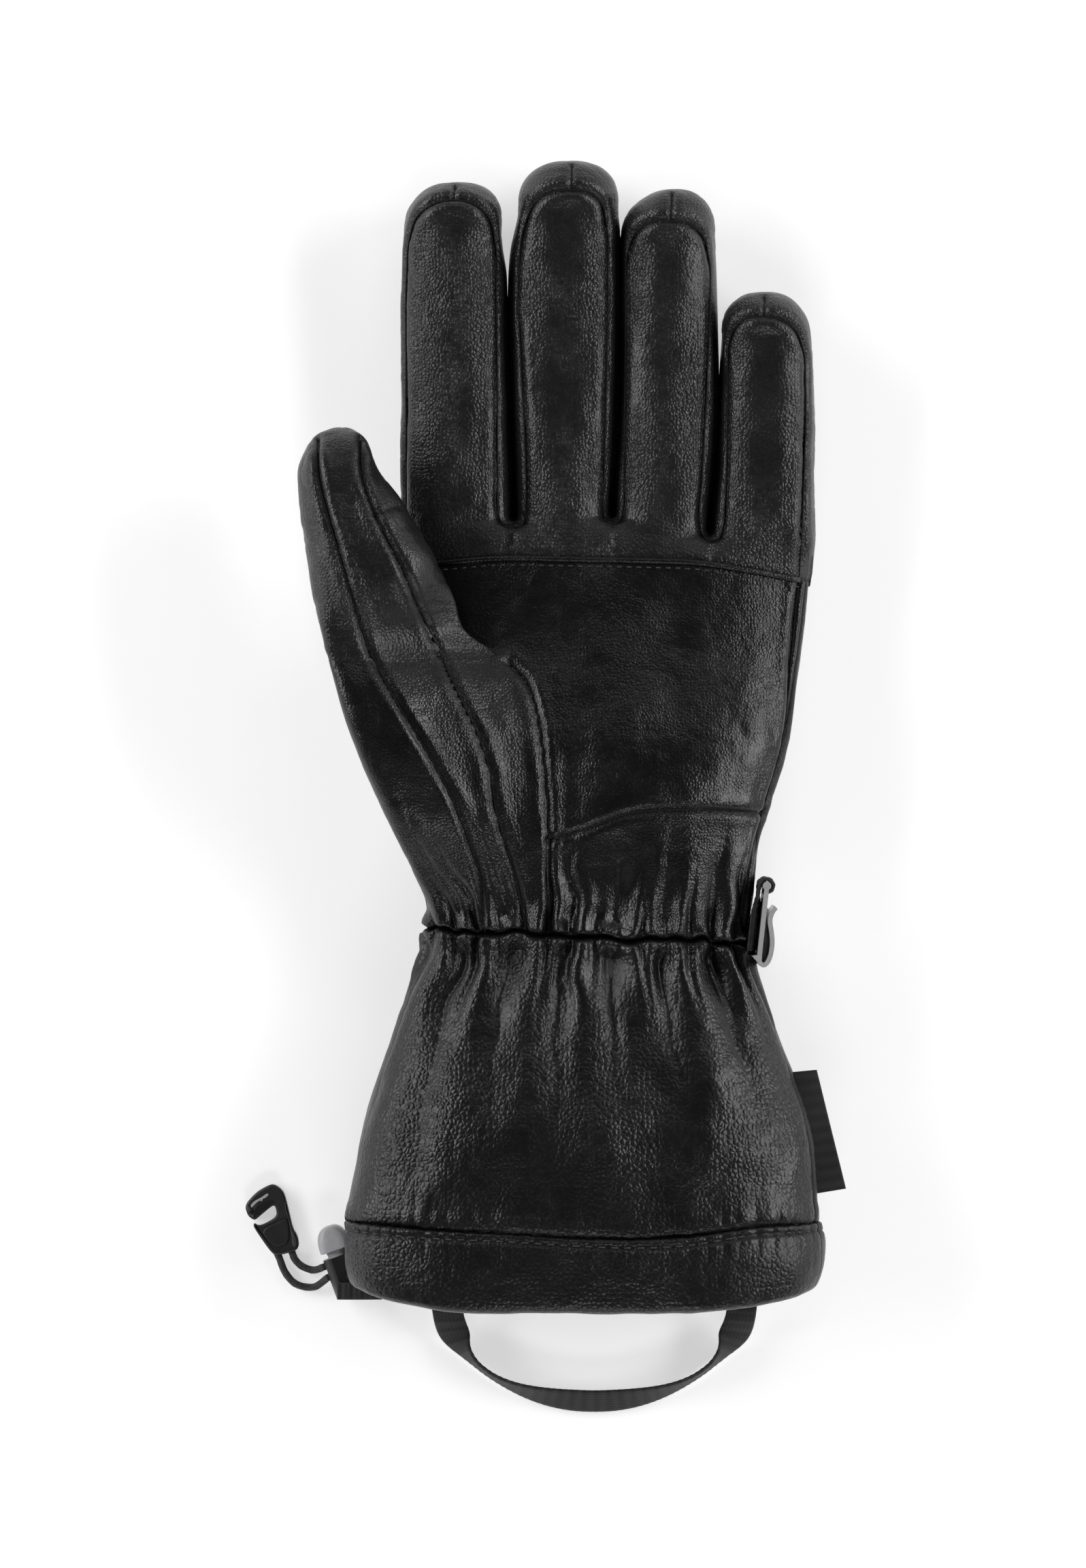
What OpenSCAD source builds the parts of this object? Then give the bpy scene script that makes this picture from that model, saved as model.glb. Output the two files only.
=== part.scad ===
// Left-hand leather gauntlet ski glove. It lies on its back: fingers along +Y, palm up (+Z),
// thumb towards -X. The origin is on the resting plane, below the wrist elastic.

/* [Hand] */
// Width of the hand across the finger bases
hand_w = 111; // [107:1:125]
// Width of the glove at the wrist elastic
wrist_w = 84; // [78:1:90]
// Length from the wrist elastic to the finger bases
palm_l = 105; // [98:1:116]
// Thickness at the heel of the palm
heel_h = 38; // [34:1:44]
// Thickness at the wrist elastic
wrist_h = 29; // [26:1:34]
// Height of the arched seam above the wrist elastic
heel_seam_y = 25; // [20:1:32]
// Rise of the arched seam towards the little finger
heel_seam_rise = 7; // [2:1:10]
// Length of the piped seam band below the finger bases
finger_band_l = 7; // [4:1:10]

/* [Fingers] */
// Thickness of the fingers
finger_h = 25; // [22:1:28]
// Free space between neighbouring fingers
finger_gap = 0.6; // [0.5:0.1:1.5]
// Width of the index finger
index_w = 30; // [26:0.5:32]
// Length of the index finger
index_l = 95; // [80:1:105]
// Width of the middle finger
middle_w = 28; // [25:0.5:30]
// Length of the middle finger
middle_l = 101; // [86:1:112]
// Width of the ring finger
ring_w = 26; // [23:0.5:28]
// Length of the ring finger
ring_l = 94; // [80:1:104]
// Width of the little finger
little_w = 26; // [22:0.5:27]
// Length of the little finger
little_l = 66; // [55:1:75]
// Height by which the finger tips curve up towards the palm side
finger_curl = 5; // [0:0.5:9]

/* [Thumb] */
// Length of the free thumb, from the crotch to the tip
thumb_l = 62; // [54:1:70]
// Width of the thumb at its root
thumb_root_w = 43; // [38:1:46]
// Width of the thumb near its tip
thumb_tip_w = 24; // [21:0.5:27]
// Thickness of the thumb
thumb_h = 26; // [23:0.5:28]
// Sideways lean of the thumb over its length
thumb_lean = 17; // [12:1:22]
// Distance from the wrist elastic to the thumb crotch
crotch_y = 72; // [66:1:76]

/* [Cuff] */
// Length from the wrist elastic to the hem
cuff_l = 100; // [85:1:115]
// Greatest width of the cuff
cuff_w = 125; // [112:1:135]
// Thickness of the cuff at the hem
cuff_h = 46; // [40:1:52]
// Length of the hem band
hem_l = 22; // [18:1:26]

/* [Layers] */
// Thickness of the leather
leather_t = 1.2; // [0.9:0.1:1.4]
// Thickness of the insulation
fill_t = 1.5; // [1.2:0.1:1.8]
// Thickness of the lining
lining_t = 1.2; // [0.8:0.1:1.5]
// Free space between one layer and the next
layer_gap = 0.3; // [0.2:0.05:0.4]
// Free space between the hand and each part that bends on it
bend_gap = 0.4; // [0.3:0.05:0.6]

/* [Strap and buckle] */
// Width of the wrist strap
strap_w = 18; // [14:1:20]
// Thickness of the webbing
webbing_t = 1.2; // [0.9:0.1:1.4]
// Width of the hook buckle
buckle_w = 20; // [17:0.5:23]
// Length of the hook buckle's plate
buckle_l = 21; // [18:0.5:24]
// Thickness of the buckle's plate and tongue
buckle_t = 1.2; // [0.9:0.1:1.5]
// Radius of the buckle's bar
bar_r = 1.1; // [0.9:0.1:1.3]

/* [Hem cord and pairing clip] */
// Diameter of the elastic hem cord
cord_d = 2; // [1.6:0.1:2.2]
// Width of the cord lock
lock_w = 9; // [8.5:0.5:10]
// Length of the cord lock's barrel
lock_l = 11; // [10.5:0.5:13]
// Travel of the cord lock's button
button_travel = 1.6; // [1:0.1:1.8]
// Length of the pairing clip
clip_l = 18; // [16:0.5:20]
// Thickness of the pairing clip
clip_t = 3.2; // [2.6:0.1:4]

/* [Loop and label] */
// Width of the hang loop's webbing
loop_w = 8.5; // [7:0.5:10]
// Reach of the hang loop beyond the hem
loop_reach = 27; // [20:1:34]
// Length of the side label
label_l = 33; // [26:1:40]
// Width of the side label
label_w = 7; // [5:0.5:9]

/* [Hidden] */

// Colours
LEATHER = "#2b2b2d";
SOFTSHELL = "#38383b";
LINING = "#1c1c1e";
WEBBING = "#303033";
PLASTIC = "#3a3b3d";
METAL = "#c8cacc";

// The wrist sits this far towards the thumb from the middle of the finger bases
WRIST_SHIFT = 6;
// Roundness of the hand's cross-section, where 2 is an ellipse
ROUND = 2.5;
// Clearance of the glove's back from the resting plane at the wrist
WRIST_LIFT = 5;
// Where the hand ends and the cuff starts, just below the elastic
SPLIT_Y = -5;
// Seam angles round the section: 0 is the little-finger side, 90 the palm, 270 the back
ULNAR_SEAM = 12;
THUMB_SEAM = 100;
STRIP_SEAM = 117;
OUTER_SEAM = 137;
RADIAL_SEAM = 185;

// Share of the widening from the wrist to the finger bases, little-finger side
HAND_FLARE = [[0, 0], [0.13, 0.16], [0.31, 0.29], [0.45, 0.55], [0.6, 0.7], [0.8, 0.88], [1, 1]];
// Share of the widening from the wrist to the hem
CUFF_FLARE = [[0, 0], [0.11, 0.12], [0.18, 0.28], [0.33, 0.56], [0.47, 0.8], [0.62, 0.91],
    [0.76, 1], [0.91, 0.97], [1, 0.92]];

function mix(a, b, t) = a + (b - a) * t;
function ease(t) = let (c = max(0, min(1, t))) c * c * (3 - 2 * c);
function spow(v, p) = sign(v) * pow(abs(v), p);

// ---- The hand and cuff as one tube along Y -----------------------------------------------

function side_x(y, side) =
    let (wrist_x = side * wrist_w / 2 - WRIST_SHIFT,
         far_x = y < 0 ? side * cuff_w / 2 - WRIST_SHIFT : side * hand_w / 2,
         share = y < 0 ? lookup(-y / cuff_l, CUFF_FLARE) : lookup(y / palm_l, HAND_FLARE))
    mix(wrist_x, far_x, share);
function bottom_z(y) =
    y < 0 ? WRIST_LIFT * (1 - ease(-y / 30)) : WRIST_LIFT * (1 - ease(y / 45));
function top_z(y) =
    y < 0 ? mix(WRIST_LIFT + wrist_h, cuff_h, ease(-y / 60))
    : y < 35 ? mix(WRIST_LIFT + wrist_h, heel_h, ease(y / 35))
    : mix(heel_h, finger_h + 2, ease((y - 35) / (palm_l - 35)));

// The thumb root swells out of the tube between the palm and the radial side
function swell(y, a) =
    (y < SWELL_Y || y > crotch_y || a <= THUMB_SEAM || a >= RADIAL_SEAM) ? 0
    : pow(sin((a - THUMB_SEAM) / (RADIAL_SEAM - THUMB_SEAM) * 180), 1.2)
        * (y - SWELL_Y) / (crotch_y - SWELL_Y);
SWELL_Y = 8;
SWELL_X = -29;
SWELL_Z = 24;

// Point of the tube at station y and angle a, a distance o below its outer surface
function tube_pt(y, a, o) =
    let (xl = side_x(y, -1), xr = side_x(y, 1), zb = bottom_z(y), zt = top_z(y),
         g = swell(y, a))
    [(xl + xr) / 2 + ((xr - xl) / 2 - o) * spow(cos(a), 2 / ROUND) + SWELL_X * g, y,
     (zb + zt) / 2 + ((zt - zb) / 2 - o) * spow(sin(a), 2 / ROUND) + SWELL_Z * g];

// ---- Fingers --------------------------------------------------------------------------

// Each finger: centre x, width, length, curl
FINGER_BASE_Y = palm_l + bend_gap;
index_x = -hand_w / 2 + index_w / 2;
middle_x = index_x + (index_w + middle_w) / 2;
ring_x = middle_x + (middle_w + ring_w) / 2;
little_x = ring_x + (ring_w + little_w) / 2;
INDEX = [index_x, index_w, index_l];
MIDDLE = [middle_x, middle_w, middle_l];
RING = [ring_x, ring_w, ring_l];
LITTLE = [little_x, little_w, little_l];

// Length of the rounded tip as a share of the width, and the row where it starts
TIP_SHARE = 0.55;
TIP_ROW = 0.4;
TIP_TURN = 89;
// Row at which the palm-side panel's round end closes
PANEL_END = 0.7;
PANEL_ARC = 0.3;
PANEL_HALF = 55;

function tip_turn(u) = u <= TIP_ROW ? 0 : (u - TIP_ROW) / (1 - TIP_ROW) * TIP_TURN;
function finger_pt(f, u, a, o) =
    let (tip = f[1] * TIP_SHARE, turn = tip_turn(u), narrow = pow(cos(turn), 0.85),
         y = min(u / TIP_ROW, 1) * (f[2] - tip) + (tip - o) * sin(turn),
         rise = finger_curl * pow(y / f[2], 2))
    [f[0] + (f[1] / 2 - finger_gap / 2 - o) * narrow * spow(cos(a), 2 / 2.3),
     FINGER_BASE_Y + y,
     finger_h / 2 + rise + (finger_h / 2 - o) * narrow * spow(sin(a), 2 / 2.3)];

// Half angle of the palm-side panel at row u
function panel_half(u) =
    u <= PANEL_ARC ? PANEL_HALF
    : max(4, PANEL_HALF * sqrt(max(0, 1 - pow((u - PANEL_ARC) / (PANEL_END - PANEL_ARC), 2))));
function wall_edge(u) = u <= PANEL_END + 0.001 ? panel_half(u) : 0;

// ---- Thumb ----------------------------------------------------------------------------

THUMB_BASE_Y = crotch_y + bend_gap;
THUMB_ROOT_X = -53;
THUMB_ROOT_Z = 41;
THUMB_TIP_Z = 33;
THUMB_NARROWING = [[0, 0], [0.26, 0.36], [0.42, 0.52], [0.56, 0.7], [0.7, 0.86], [0.85, 1], [1, 1]];
THUMB_TIP_L = 13;
// Seam angles round the thumb, and where its back seam lies
THUMB_STRIP_A = 65;
THUMB_STRIP_B = 118;
THUMB_BACK_A = 200;
THUMB_BACK_B = 340;

function thumb_pt(u, a, o) =
    let (turn = tip_turn(u), narrow = pow(cos(turn), 0.85),
         y = min(u / TIP_ROW, 1) * (thumb_l - THUMB_TIP_L) + (THUMB_TIP_L - o) * sin(turn),
         t = y / thumb_l,
         w = mix(thumb_root_w, thumb_tip_w, lookup(t, THUMB_NARROWING)),
         cx = THUMB_ROOT_X - thumb_lean * pow(t, 0.8),
         cz = mix(THUMB_ROOT_Z, THUMB_TIP_Z, t),
         h = mix(thumb_h, thumb_h - 3, t))
    [cx + (w / 2 - o) * narrow * spow(cos(a), 2 / 2.3),
     THUMB_BASE_Y + y,
     cz + (h / 2 - o) * narrow * spow(sin(a), 2 / 2.3)];

// ---- Closed walls ---------------------------------------------------------------------

function tri(a, b, c, d) = [[a, b, c], [a, c, d]];

// A wall between depths out and inn of the surface G(u, v, o); u runs along +Y and v round
// the section. A ring has no side edges, and a capped wall closes at its far end.
module wall(G, n, m, out, inn, ring = false, capped = false) {
    w = ring ? m : m + 1;
    k = (n + 1) * w;
    points = [for (o = [out, inn]) for (i = [0:n]) for (j = [0:w - 1]) G(i / n, j / m, o)];
    function at(i, j) = i * w + j % w;
    rows = [for (i = [0:n - 1]) for (j = [0:m - 1]) each concat(
        tri(at(i, j), at(i, j + 1), at(i + 1, j + 1), at(i + 1, j)),
        tri(k + at(i, j), k + at(i + 1, j), k + at(i + 1, j + 1), k + at(i, j + 1)))];
    near = [for (j = [0:m - 1]) each tri(at(0, j), k + at(0, j), k + at(0, j + 1), at(0, j + 1))];
    far = capped
        ? [[for (j = [0:m - 1]) at(n, j)], [for (j = [m - 1:-1:0]) k + at(n, j)]]
        : [for (j = [0:m - 1]) each tri(at(n, j), at(n, j + 1), k + at(n, j + 1), k + at(n, j))];
    sides = ring ? [] : [for (i = [0:n - 1]) each concat(
        tri(at(i, 0), at(i + 1, 0), k + at(i + 1, 0), k + at(i, 0)),
        tri(at(i, m), k + at(i, m), k + at(i + 1, m), at(i + 1, m)))];
    polyhedron(points, concat(rows, near, far, sides), convexity = 6);
}

// A panel of the hand or cuff between two edges, which may depend on the angle
module panel(from_y, to_y, a0, a1, n, m, out = 0, inn = leather_t) {
    wall(function (u, v, o) let (a = mix(a0, a1, v)) tube_pt(mix(from_y(a), to_y(a), u), a, o),
        n, m, out, inn);
}
function level(y) = function (a) y;

// Angles of a full ring, which fall on the seams and on the panels' own divisions
RING_STEPS = 14;
function ring_angle(v) = lookup(v * RING_STEPS, [[0, ULNAR_SEAM], [4, THUMB_SEAM],
    [5, STRIP_SEAM], [6, OUTER_SEAM], [8, RADIAL_SEAM], [RING_STEPS, 360 + ULNAR_SEAM]]);

// The palm side above the thumb crotch, on the same angles
module palm_layer(y0, y1, n, out, inn) {
    wall(function (u, v, o) tube_pt(mix(y0, y1, u), ring_angle(v * 8 / RING_STEPS), o),
        n, 16, out, inn);
}

// A full ring of the hand or cuff
module ring_layer(y0, y1, n, out, inn) {
    wall(function (u, v, o) tube_pt(mix(y0, y1, u), ring_angle(v), o), n, RING_STEPS, out, inn,
        ring = true);
}

// A round tube of radius r along a path, with flat ends; up is never along the path
module tube(path, r, sides, up) {
    n = len(path) - 1;
    function unit(v) = v / norm(v);
    function tangent(i) = unit(path[min(i + 1, n)] - path[max(i - 1, 0)]);
    points = [for (i = [0:n]) let (t = tangent(i), s = unit(cross(t, up)), q = cross(s, t))
        for (j = [0:sides - 1]) path[i] + r * (cos(j * 360 / sides) * s + sin(j * 360 / sides) * q)];
    skin = [for (i = [0:n - 1]) for (j = [0:sides - 1]) each tri(i * sides + j,
        i * sides + (j + 1) % sides, (i + 1) * sides + (j + 1) % sides, (i + 1) * sides + j)];
    ends = [[for (j = [sides - 1:-1:0]) j], [for (j = [0:sides - 1]) n * sides + j]];
    polyhedron(points, concat(skin, ends), convexity = 6);
}

// ---- Hand panels ----------------------------------------------------------------------

BAND_Y = palm_l - finger_band_l;
// Rows of the hand: seven to the thumb crotch, two to the piped seam and one to the fingers
FAR_ROWS = 3;
HAND_ROWS = 10;
function hand_row(u) = lookup(u * HAND_ROWS, [[0, SPLIT_Y], [7, crotch_y], [9, BAND_Y],
    [HAND_ROWS, palm_l]]);
// The hand's own tube goes on just past the crotch, without the thumb's swell
PAST_CROTCH_Y = crotch_y + 0.02;
function heel_edge(a) =
    heel_seam_y + heel_seam_rise * ease((THUMB_SEAM - a) / (THUMB_SEAM - ULNAR_SEAM) * 1.6);

module palm_panel() {
    color(LEATHER) {
        panel(function (a) heel_edge(a), level(crotch_y), ULNAR_SEAM, THUMB_SEAM, 7, 8);
        palm_layer(PAST_CROTCH_Y, BAND_Y, 2, 0, leather_t);
    }
}
module finger_base_panel() {
    color(LEATHER) palm_layer(BAND_Y, palm_l, 1, 0, leather_t);
}
module palm_piping() {
    color(LEATHER) palm_layer(BAND_Y - 0.9, BAND_Y + 0.6, 1, -0.8, -0.08);
}
module heel_panel() {
    color(LEATHER) panel(level(SPLIT_Y), function (a) heel_edge(a), ULNAR_SEAM, THUMB_SEAM, 4, 8);
}
module back_panel() {
    color(SOFTSHELL) wall(function (u, v, o)
        tube_pt(hand_row(u), mix(RADIAL_SEAM, 360 + ULNAR_SEAM, v), o), HAND_ROWS, 12, 0, leather_t);
}
module thumb_base_panel(a0, a1, m) {
    color(LEATHER) panel(level(SPLIT_Y), level(crotch_y), a0, a1, 7, m);
}
module thumb_base_outer() { thumb_base_panel(OUTER_SEAM, RADIAL_SEAM, 4); }
module thumb_base_strip() { thumb_base_panel(STRIP_SEAM, OUTER_SEAM, 2); }
module thumb_base_inner() { thumb_base_panel(THUMB_SEAM, STRIP_SEAM, 1); }

FILL_OUT = leather_t + layer_gap;
LINING_OUT = FILL_OUT + fill_t + layer_gap;
LINING_IN = LINING_OUT + lining_t;
// The elastic fills the first row of the hand
ELASTIC_END = mix(SPLIT_Y, crotch_y, 1 / 7);

// The rows of the hand above the thumb crotch
module far_layer(out, inn) {
    wall(function (u, v, o) tube_pt(lookup(u * FAR_ROWS, [[0, PAST_CROTCH_Y], [2, BAND_Y],
        [FAR_ROWS, palm_l]]), ring_angle(v), o), FAR_ROWS, RING_STEPS, out, inn, ring = true);
}
module hand_insulation() {
    color(LINING) {
        ring_layer(ELASTIC_END, crotch_y, 6, FILL_OUT, FILL_OUT + fill_t);
        far_layer(FILL_OUT, FILL_OUT + fill_t);
    }
}
module hand_lining() {
    color(LINING) {
        ring_layer(SPLIT_Y, crotch_y, 7, LINING_OUT, LINING_IN);
        far_layer(LINING_OUT, LINING_IN);
    }
}
module wrist_elastic() {
    color(WEBBING) ring_layer(SPLIT_Y, ELASTIC_END - 0.02, 1, FILL_OUT, FILL_OUT + fill_t);
}

// ---- Cuff -----------------------------------------------------------------------------

CUFF_TOP = SPLIT_Y - bend_gap;
HEM_Y = -cuff_l + hem_l;
// The hem's rim rises a little at both sides
function rim_y(a) = -cuff_l + 5 * pow(abs(cos(a)), 4);
// The cord leaves the hem through a slit between these angles
SLIT_A = 192;
SLIT_B = 210;

module cuff_palm_panel() {
    color(LEATHER) panel(level(HEM_Y), level(CUFF_TOP), ULNAR_SEAM, RADIAL_SEAM, 8, 14);
}
module cuff_back_panel() {
    color(SOFTSHELL) panel(level(HEM_Y), level(CUFF_TOP), RADIAL_SEAM, 360 + ULNAR_SEAM, 8, 12);
}
// A ring that starts just past the hem's facing and keeps to the rows of the panels
module cuff_layer(out, inn) {
    wall(function (u, v, o) tube_pt(max(HEM_Y + 1, mix(HEM_Y, CUFF_TOP, u)), ring_angle(v), o),
        8, RING_STEPS, out, inn, ring = true);
}
module cuff_insulation() {
    color(LINING) cuff_layer(FILL_OUT, FILL_OUT + fill_t);
}
module cuff_lining() {
    color(LINING) cuff_layer(LINING_OUT, LINING_IN);
}

// The folded hem is a U in section: outer wall, bottom fold and inner facing
HEM_FACING_OUT = FILL_OUT + cord_d + 1;
HEM_FOLD = 2;
module hem(a0, a1, m, tint) {
    facing_in = HEM_FACING_OUT + leather_t;
    function profile(a) = let (fold = rim_y(a) + HEM_FOLD, top = HEM_Y + 0.5) [
        [HEM_Y, 0], [HEM_Y, leather_t], [fold, leather_t], [fold, HEM_FACING_OUT],
        [top, HEM_FACING_OUT], [top, facing_in], [rim_y(a), facing_in], [rim_y(a), 0]];
    points = [for (j = [0:m]) let (a = mix(a0, a1, j / m)) for (q = profile(a)) tube_pt(q[0], a, q[1])];
    skin = [for (j = [0:m - 1]) for (i = [0:7]) each tri(j * 8 + i, (j + 1) * 8 + i,
        (j + 1) * 8 + (i + 1) % 8, j * 8 + (i + 1) % 8)];
    quads = [[0, 1, 2, 7], [2, 3, 6, 7], [3, 4, 5, 6]];
    near = [for (q = quads) each tri(q[0], q[1], q[2], q[3])];
    far = [for (q = quads) each tri(m * 8 + q[3], m * 8 + q[2], m * 8 + q[1], m * 8 + q[0])];
    color(tint) polyhedron(points, concat(skin, near, far), convexity = 8);
}
module hem_front() { hem(ULNAR_SEAM, SLIT_A, 14, LEATHER); }
module hem_back() { hem(SLIT_B, 360 + ULNAR_SEAM, 12, SOFTSHELL); }

// ---- Hem cord, lock and clip ------------------------------------------------------------

LOCK_POS = [-cuff_w / 2 - WRIST_SHIFT - 3.5, -cuff_l + 10.5, lock_w / 2 - 0.1];
LOCK_TILT = 20;
LOCK_H = 8;
// Where the two cords cross the lock, along its barrel
CORD_A = 0.4;
CORD_B = CORD_A - cord_d - 1;
PLUNGER_R = 3;
BORE_GAP = 0.15;

function lock_pt(x, y) =
    LOCK_POS + [x * cos(LOCK_TILT) - y * sin(LOCK_TILT), x * sin(LOCK_TILT) + y * cos(LOCK_TILT), 0];
CORD_DEPTH = FILL_OUT + cord_d / 2 + 0.4;
HEM_CORD_RINGS = 34;
module hem_cord() {
    ring = [for (i = [0:HEM_CORD_RINGS]) let (t = i / HEM_CORD_RINGS)
        tube_pt(mix(-cuff_l + 12, -cuff_l + 8.5, t), mix(200, -158, t), CORD_DEPTH)];
    start = lock_pt(lock_w / 2 + 1, CORD_A);
    end = lock_pt(lock_w / 2 + 1, CORD_B);
    path = concat([lock_pt(-lock_w / 2, CORD_A), lock_pt(0, CORD_A), start],
        [mix(start, ring[0], 0.5)], ring,
        [mix(end, ring[HEM_CORD_RINGS], 0.5)], [end, lock_pt(0, CORD_B), lock_pt(-lock_w / 2, CORD_B)]);
    color(PLASTIC) tube(path, cord_d / 2, 6, [0, 1, 0]);
}

function smooth_path(p) = [for (i = [0:len(p) - 2]) each
    let (a = p[max(i - 1, 0)], b = p[i], c = p[i + 1], d = p[min(i + 2, len(p) - 1)])
    [for (t = [0, 1 / 3, 2 / 3]) 0.5 * (2 * b + (c - a) * t + (2 * a - 5 * b + 4 * c - d) * t * t
        + (3 * b - 3 * c + d - a) * t * t * t)]];
LEG_OUTER = [[-80, -96.5, 1.6], [-84.5, -95.5, 1.6], [-87.5, -92, 1.6], [-88.8, -88.5, 1.6]];
LEG_INNER = [[-80, -91.8, 1.6], [-83, -90.6, 1.6], [-84.8, -88.6, 1.6], [-85.4, -87, 1.6]];
module cord_leg(route, start) {
    p = concat([start], route);
    color(PLASTIC) tube(concat(smooth_path(p), [p[len(p) - 1]]), cord_d / 2, 8, [0, 0, 1]);
}
module cord_leg_outer() { cord_leg(LEG_OUTER, lock_pt(-lock_w / 2, CORD_B)); }
module cord_leg_inner() { cord_leg(LEG_INNER, lock_pt(-lock_w / 2, CORD_A)); }

// ---- Fingers ----------------------------------------------------------------------------

PANEL_ROWS = 7;
WALL_ROWS = 10;
module finger_palm_side(f) {
    color(LEATHER) wall(function (u, v, o) let (row = PANEL_END * u, half = panel_half(row))
        finger_pt(f, row, 90 - half + 2 * half * v, o), PANEL_ROWS, 6, 0, leather_t);
}
module finger_back(f) {
    color(LEATHER) wall(function (u, v, o)
        finger_pt(f, u, mix(270 - PANEL_HALF, 270 + PANEL_HALF, v), o), WALL_ROWS, 5, 0, leather_t);
}
// The two side walls wrap over the tip and meet in a seam above the palm-side panel
module finger_walls(f) {
    color(LEATHER) {
        wall(function (u, v, o)
            finger_pt(f, u, mix(PANEL_HALF - 90, 90 - wall_edge(u), v), o),
            WALL_ROWS, 4, 0, leather_t);
        wall(function (u, v, o)
            finger_pt(f, u, mix(90 + wall_edge(u), 270 - PANEL_HALF, v), o),
            WALL_ROWS, 4, 0, leather_t);
    }
}
module finger_lining(f) {
    color(LINING) wall(function (u, v, o) finger_pt(f, u, v * 360, o),
        WALL_ROWS, 10, FILL_OUT, LINING_IN, ring = true, capped = true);
}

// ---- Thumb ------------------------------------------------------------------------------

module thumb_panel(a0, a1, m) {
    color(LEATHER) wall(function (u, v, o) thumb_pt(u, mix(a0, a1, v), o),
        WALL_ROWS, m, 0, leather_t);
}
module thumb_outer() { thumb_panel(THUMB_STRIP_B, THUMB_BACK_A, 4); }
module thumb_strip() { thumb_panel(THUMB_STRIP_A, THUMB_STRIP_B, 3); }
module thumb_inner() { thumb_panel(THUMB_BACK_B - 360, THUMB_STRIP_A, 4); }
module thumb_back() { thumb_panel(THUMB_BACK_A, THUMB_BACK_B, 6); }
module thumb_lining() {
    color(LINING) wall(function (u, v, o) thumb_pt(u, v * 360, o),
        WALL_ROWS, 10, FILL_OUT, LINING_IN, ring = true, capped = true);
}

// ---- Wrist strap and hook buckle --------------------------------------------------------

STRAP_Y = 3;
STRAP_A = 205;
STRAP_B = 333;
module wrist_strap() {
    color(WEBBING) panel(level(STRAP_Y), level(STRAP_Y + strap_w), STRAP_A, STRAP_B, 3, 12,
        -layer_gap - webbing_t, -layer_gap);
}

// The buckle hangs from its bar in a folded webbing tab on the little-finger side
BAR_GAP = 0.1;
TAB_R = bar_r + BAR_GAP + webbing_t;
BAR_Y = 12.5;
BAR_X = side_x(BAR_Y, 1) + TAB_R + layer_gap + 0.2;
BUCKLE_Z = 23;
BUCKLE_LEAN = 6;
CHEEK_T = 1.8;
TAB_W = buckle_w - 2 * CHEEK_T - 2 * layer_gap;
TAB_L = 0.84 * buckle_l;

module at_bar() { translate([BAR_X, BAR_Y, BUCKLE_Z]) rotate([0, 0, -BUCKLE_LEAN]) children(); }
module buckle_tab() {
    color(WEBBING) at_bar() difference() {
        union() {
            cylinder(r = TAB_R, h = TAB_W, center = true, $fn = 32);
            translate([-TAB_R, -TAB_L, -TAB_W / 2]) cube([webbing_t, TAB_L, TAB_W]);
        }
        cylinder(r = bar_r + BAR_GAP, h = TAB_W + 1, center = true, $fn = 32);
    }
}

// Middle line of the bent plate: shares of the plate's length down from the bar, and offsets
HOOK_LINE = [[0, 0.16], [0, 0.5], [0, 0.9], [0.35, 0.975], [1.2, 1], [2.1, 0.97], [2.8, 0.88],
    [3, 0.72], [2.5, 0.58], [1.9, 0.47], [1.8, 0.39], [2.4, 0.3], [3.3, 0.25]];
function bent_edge(p, half) = [for (i = [0:len(p) - 1])
    let (d = p[min(i + 1, len(p) - 1)] - p[max(i - 1, 0)], n = norm(d))
    p[i] + half * [-d.y, d.x] / n];
module hook_buckle() {
    line = smooth_path([for (q = HOOK_LINE) [q.x, -q.y * buckle_l, 0]]);
    mid = [for (q = line) [q.x, q.y]];
    outer = bent_edge(mid, buckle_t / 2);
    inner = bent_edge(mid, -buckle_t / 2);
    color(METAL) at_bar() {
        translate([0, 0, -buckle_w / 2]) linear_extrude(buckle_w)
            polygon(concat(outer, [for (i = [len(inner) - 1:-1:0]) inner[i]]));
        translate([0, 0, -buckle_w / 2]) linear_extrude(buckle_w)
            polygon([[-buckle_t / 2 + 0.1, -0.88 * buckle_l], [-2, -0.9 * buckle_l],
                [-buckle_t / 2 + 0.1, -0.965 * buckle_l]]);
        cylinder(r = bar_r, h = buckle_w, center = true, $fn = 32);
        for (side = [-1, 1]) translate([0, -0.1 * buckle_l, side * (buckle_w - CHEEK_T) / 2])
            cube([buckle_t, 0.2 * buckle_l, CHEEK_T], center = true);
    }
}

// ---- Cord lock --------------------------------------------------------------------------

LOCK_FLOOR = 0.8;
LOCK_TOP = 2;
SLOT_HALF = cord_d / 2 + 0.3;
DOME_L = 6.5;
DOME_R = lock_w / 2 - 0.2;
PLUNGER_END = CORD_B - cord_d / 2 - 1.4;
module at_lock() { translate(LOCK_POS) rotate([0, 0, LOCK_TILT]) children(); }
module along_barrel(y0) { translate([0, y0, 0]) rotate([-90, 0, 0]) children(); }
// Oblong opening across the barrel, between two centres along it
module cord_slot(y0, y1) {
    for (y = [y0, y1]) translate([0, y, 0]) rotate([0, 90, 0])
        cylinder(r = SLOT_HALF, h = 2 * lock_w, center = true, $fn = 24);
    translate([-lock_w, y0, -SLOT_HALF]) cube([2 * lock_w, y1 - y0, 2 * SLOT_HALF]);
}
module lock_barrel() {
    color(PLASTIC) at_lock() difference() {
        intersection() {
            along_barrel(LOCK_TOP - lock_l) cylinder(r = lock_w / 2, h = lock_l, $fn = 48);
            translate([0, LOCK_TOP - lock_l / 2, 0]) cube([2 * lock_w, lock_l, LOCK_H], center = true);
        }
        along_barrel(LOCK_TOP - lock_l + LOCK_FLOOR)
            cylinder(r = PLUNGER_R + BORE_GAP, h = lock_l, $fn = 32);
        cord_slot(CORD_B, CORD_A);
    }
}
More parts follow.
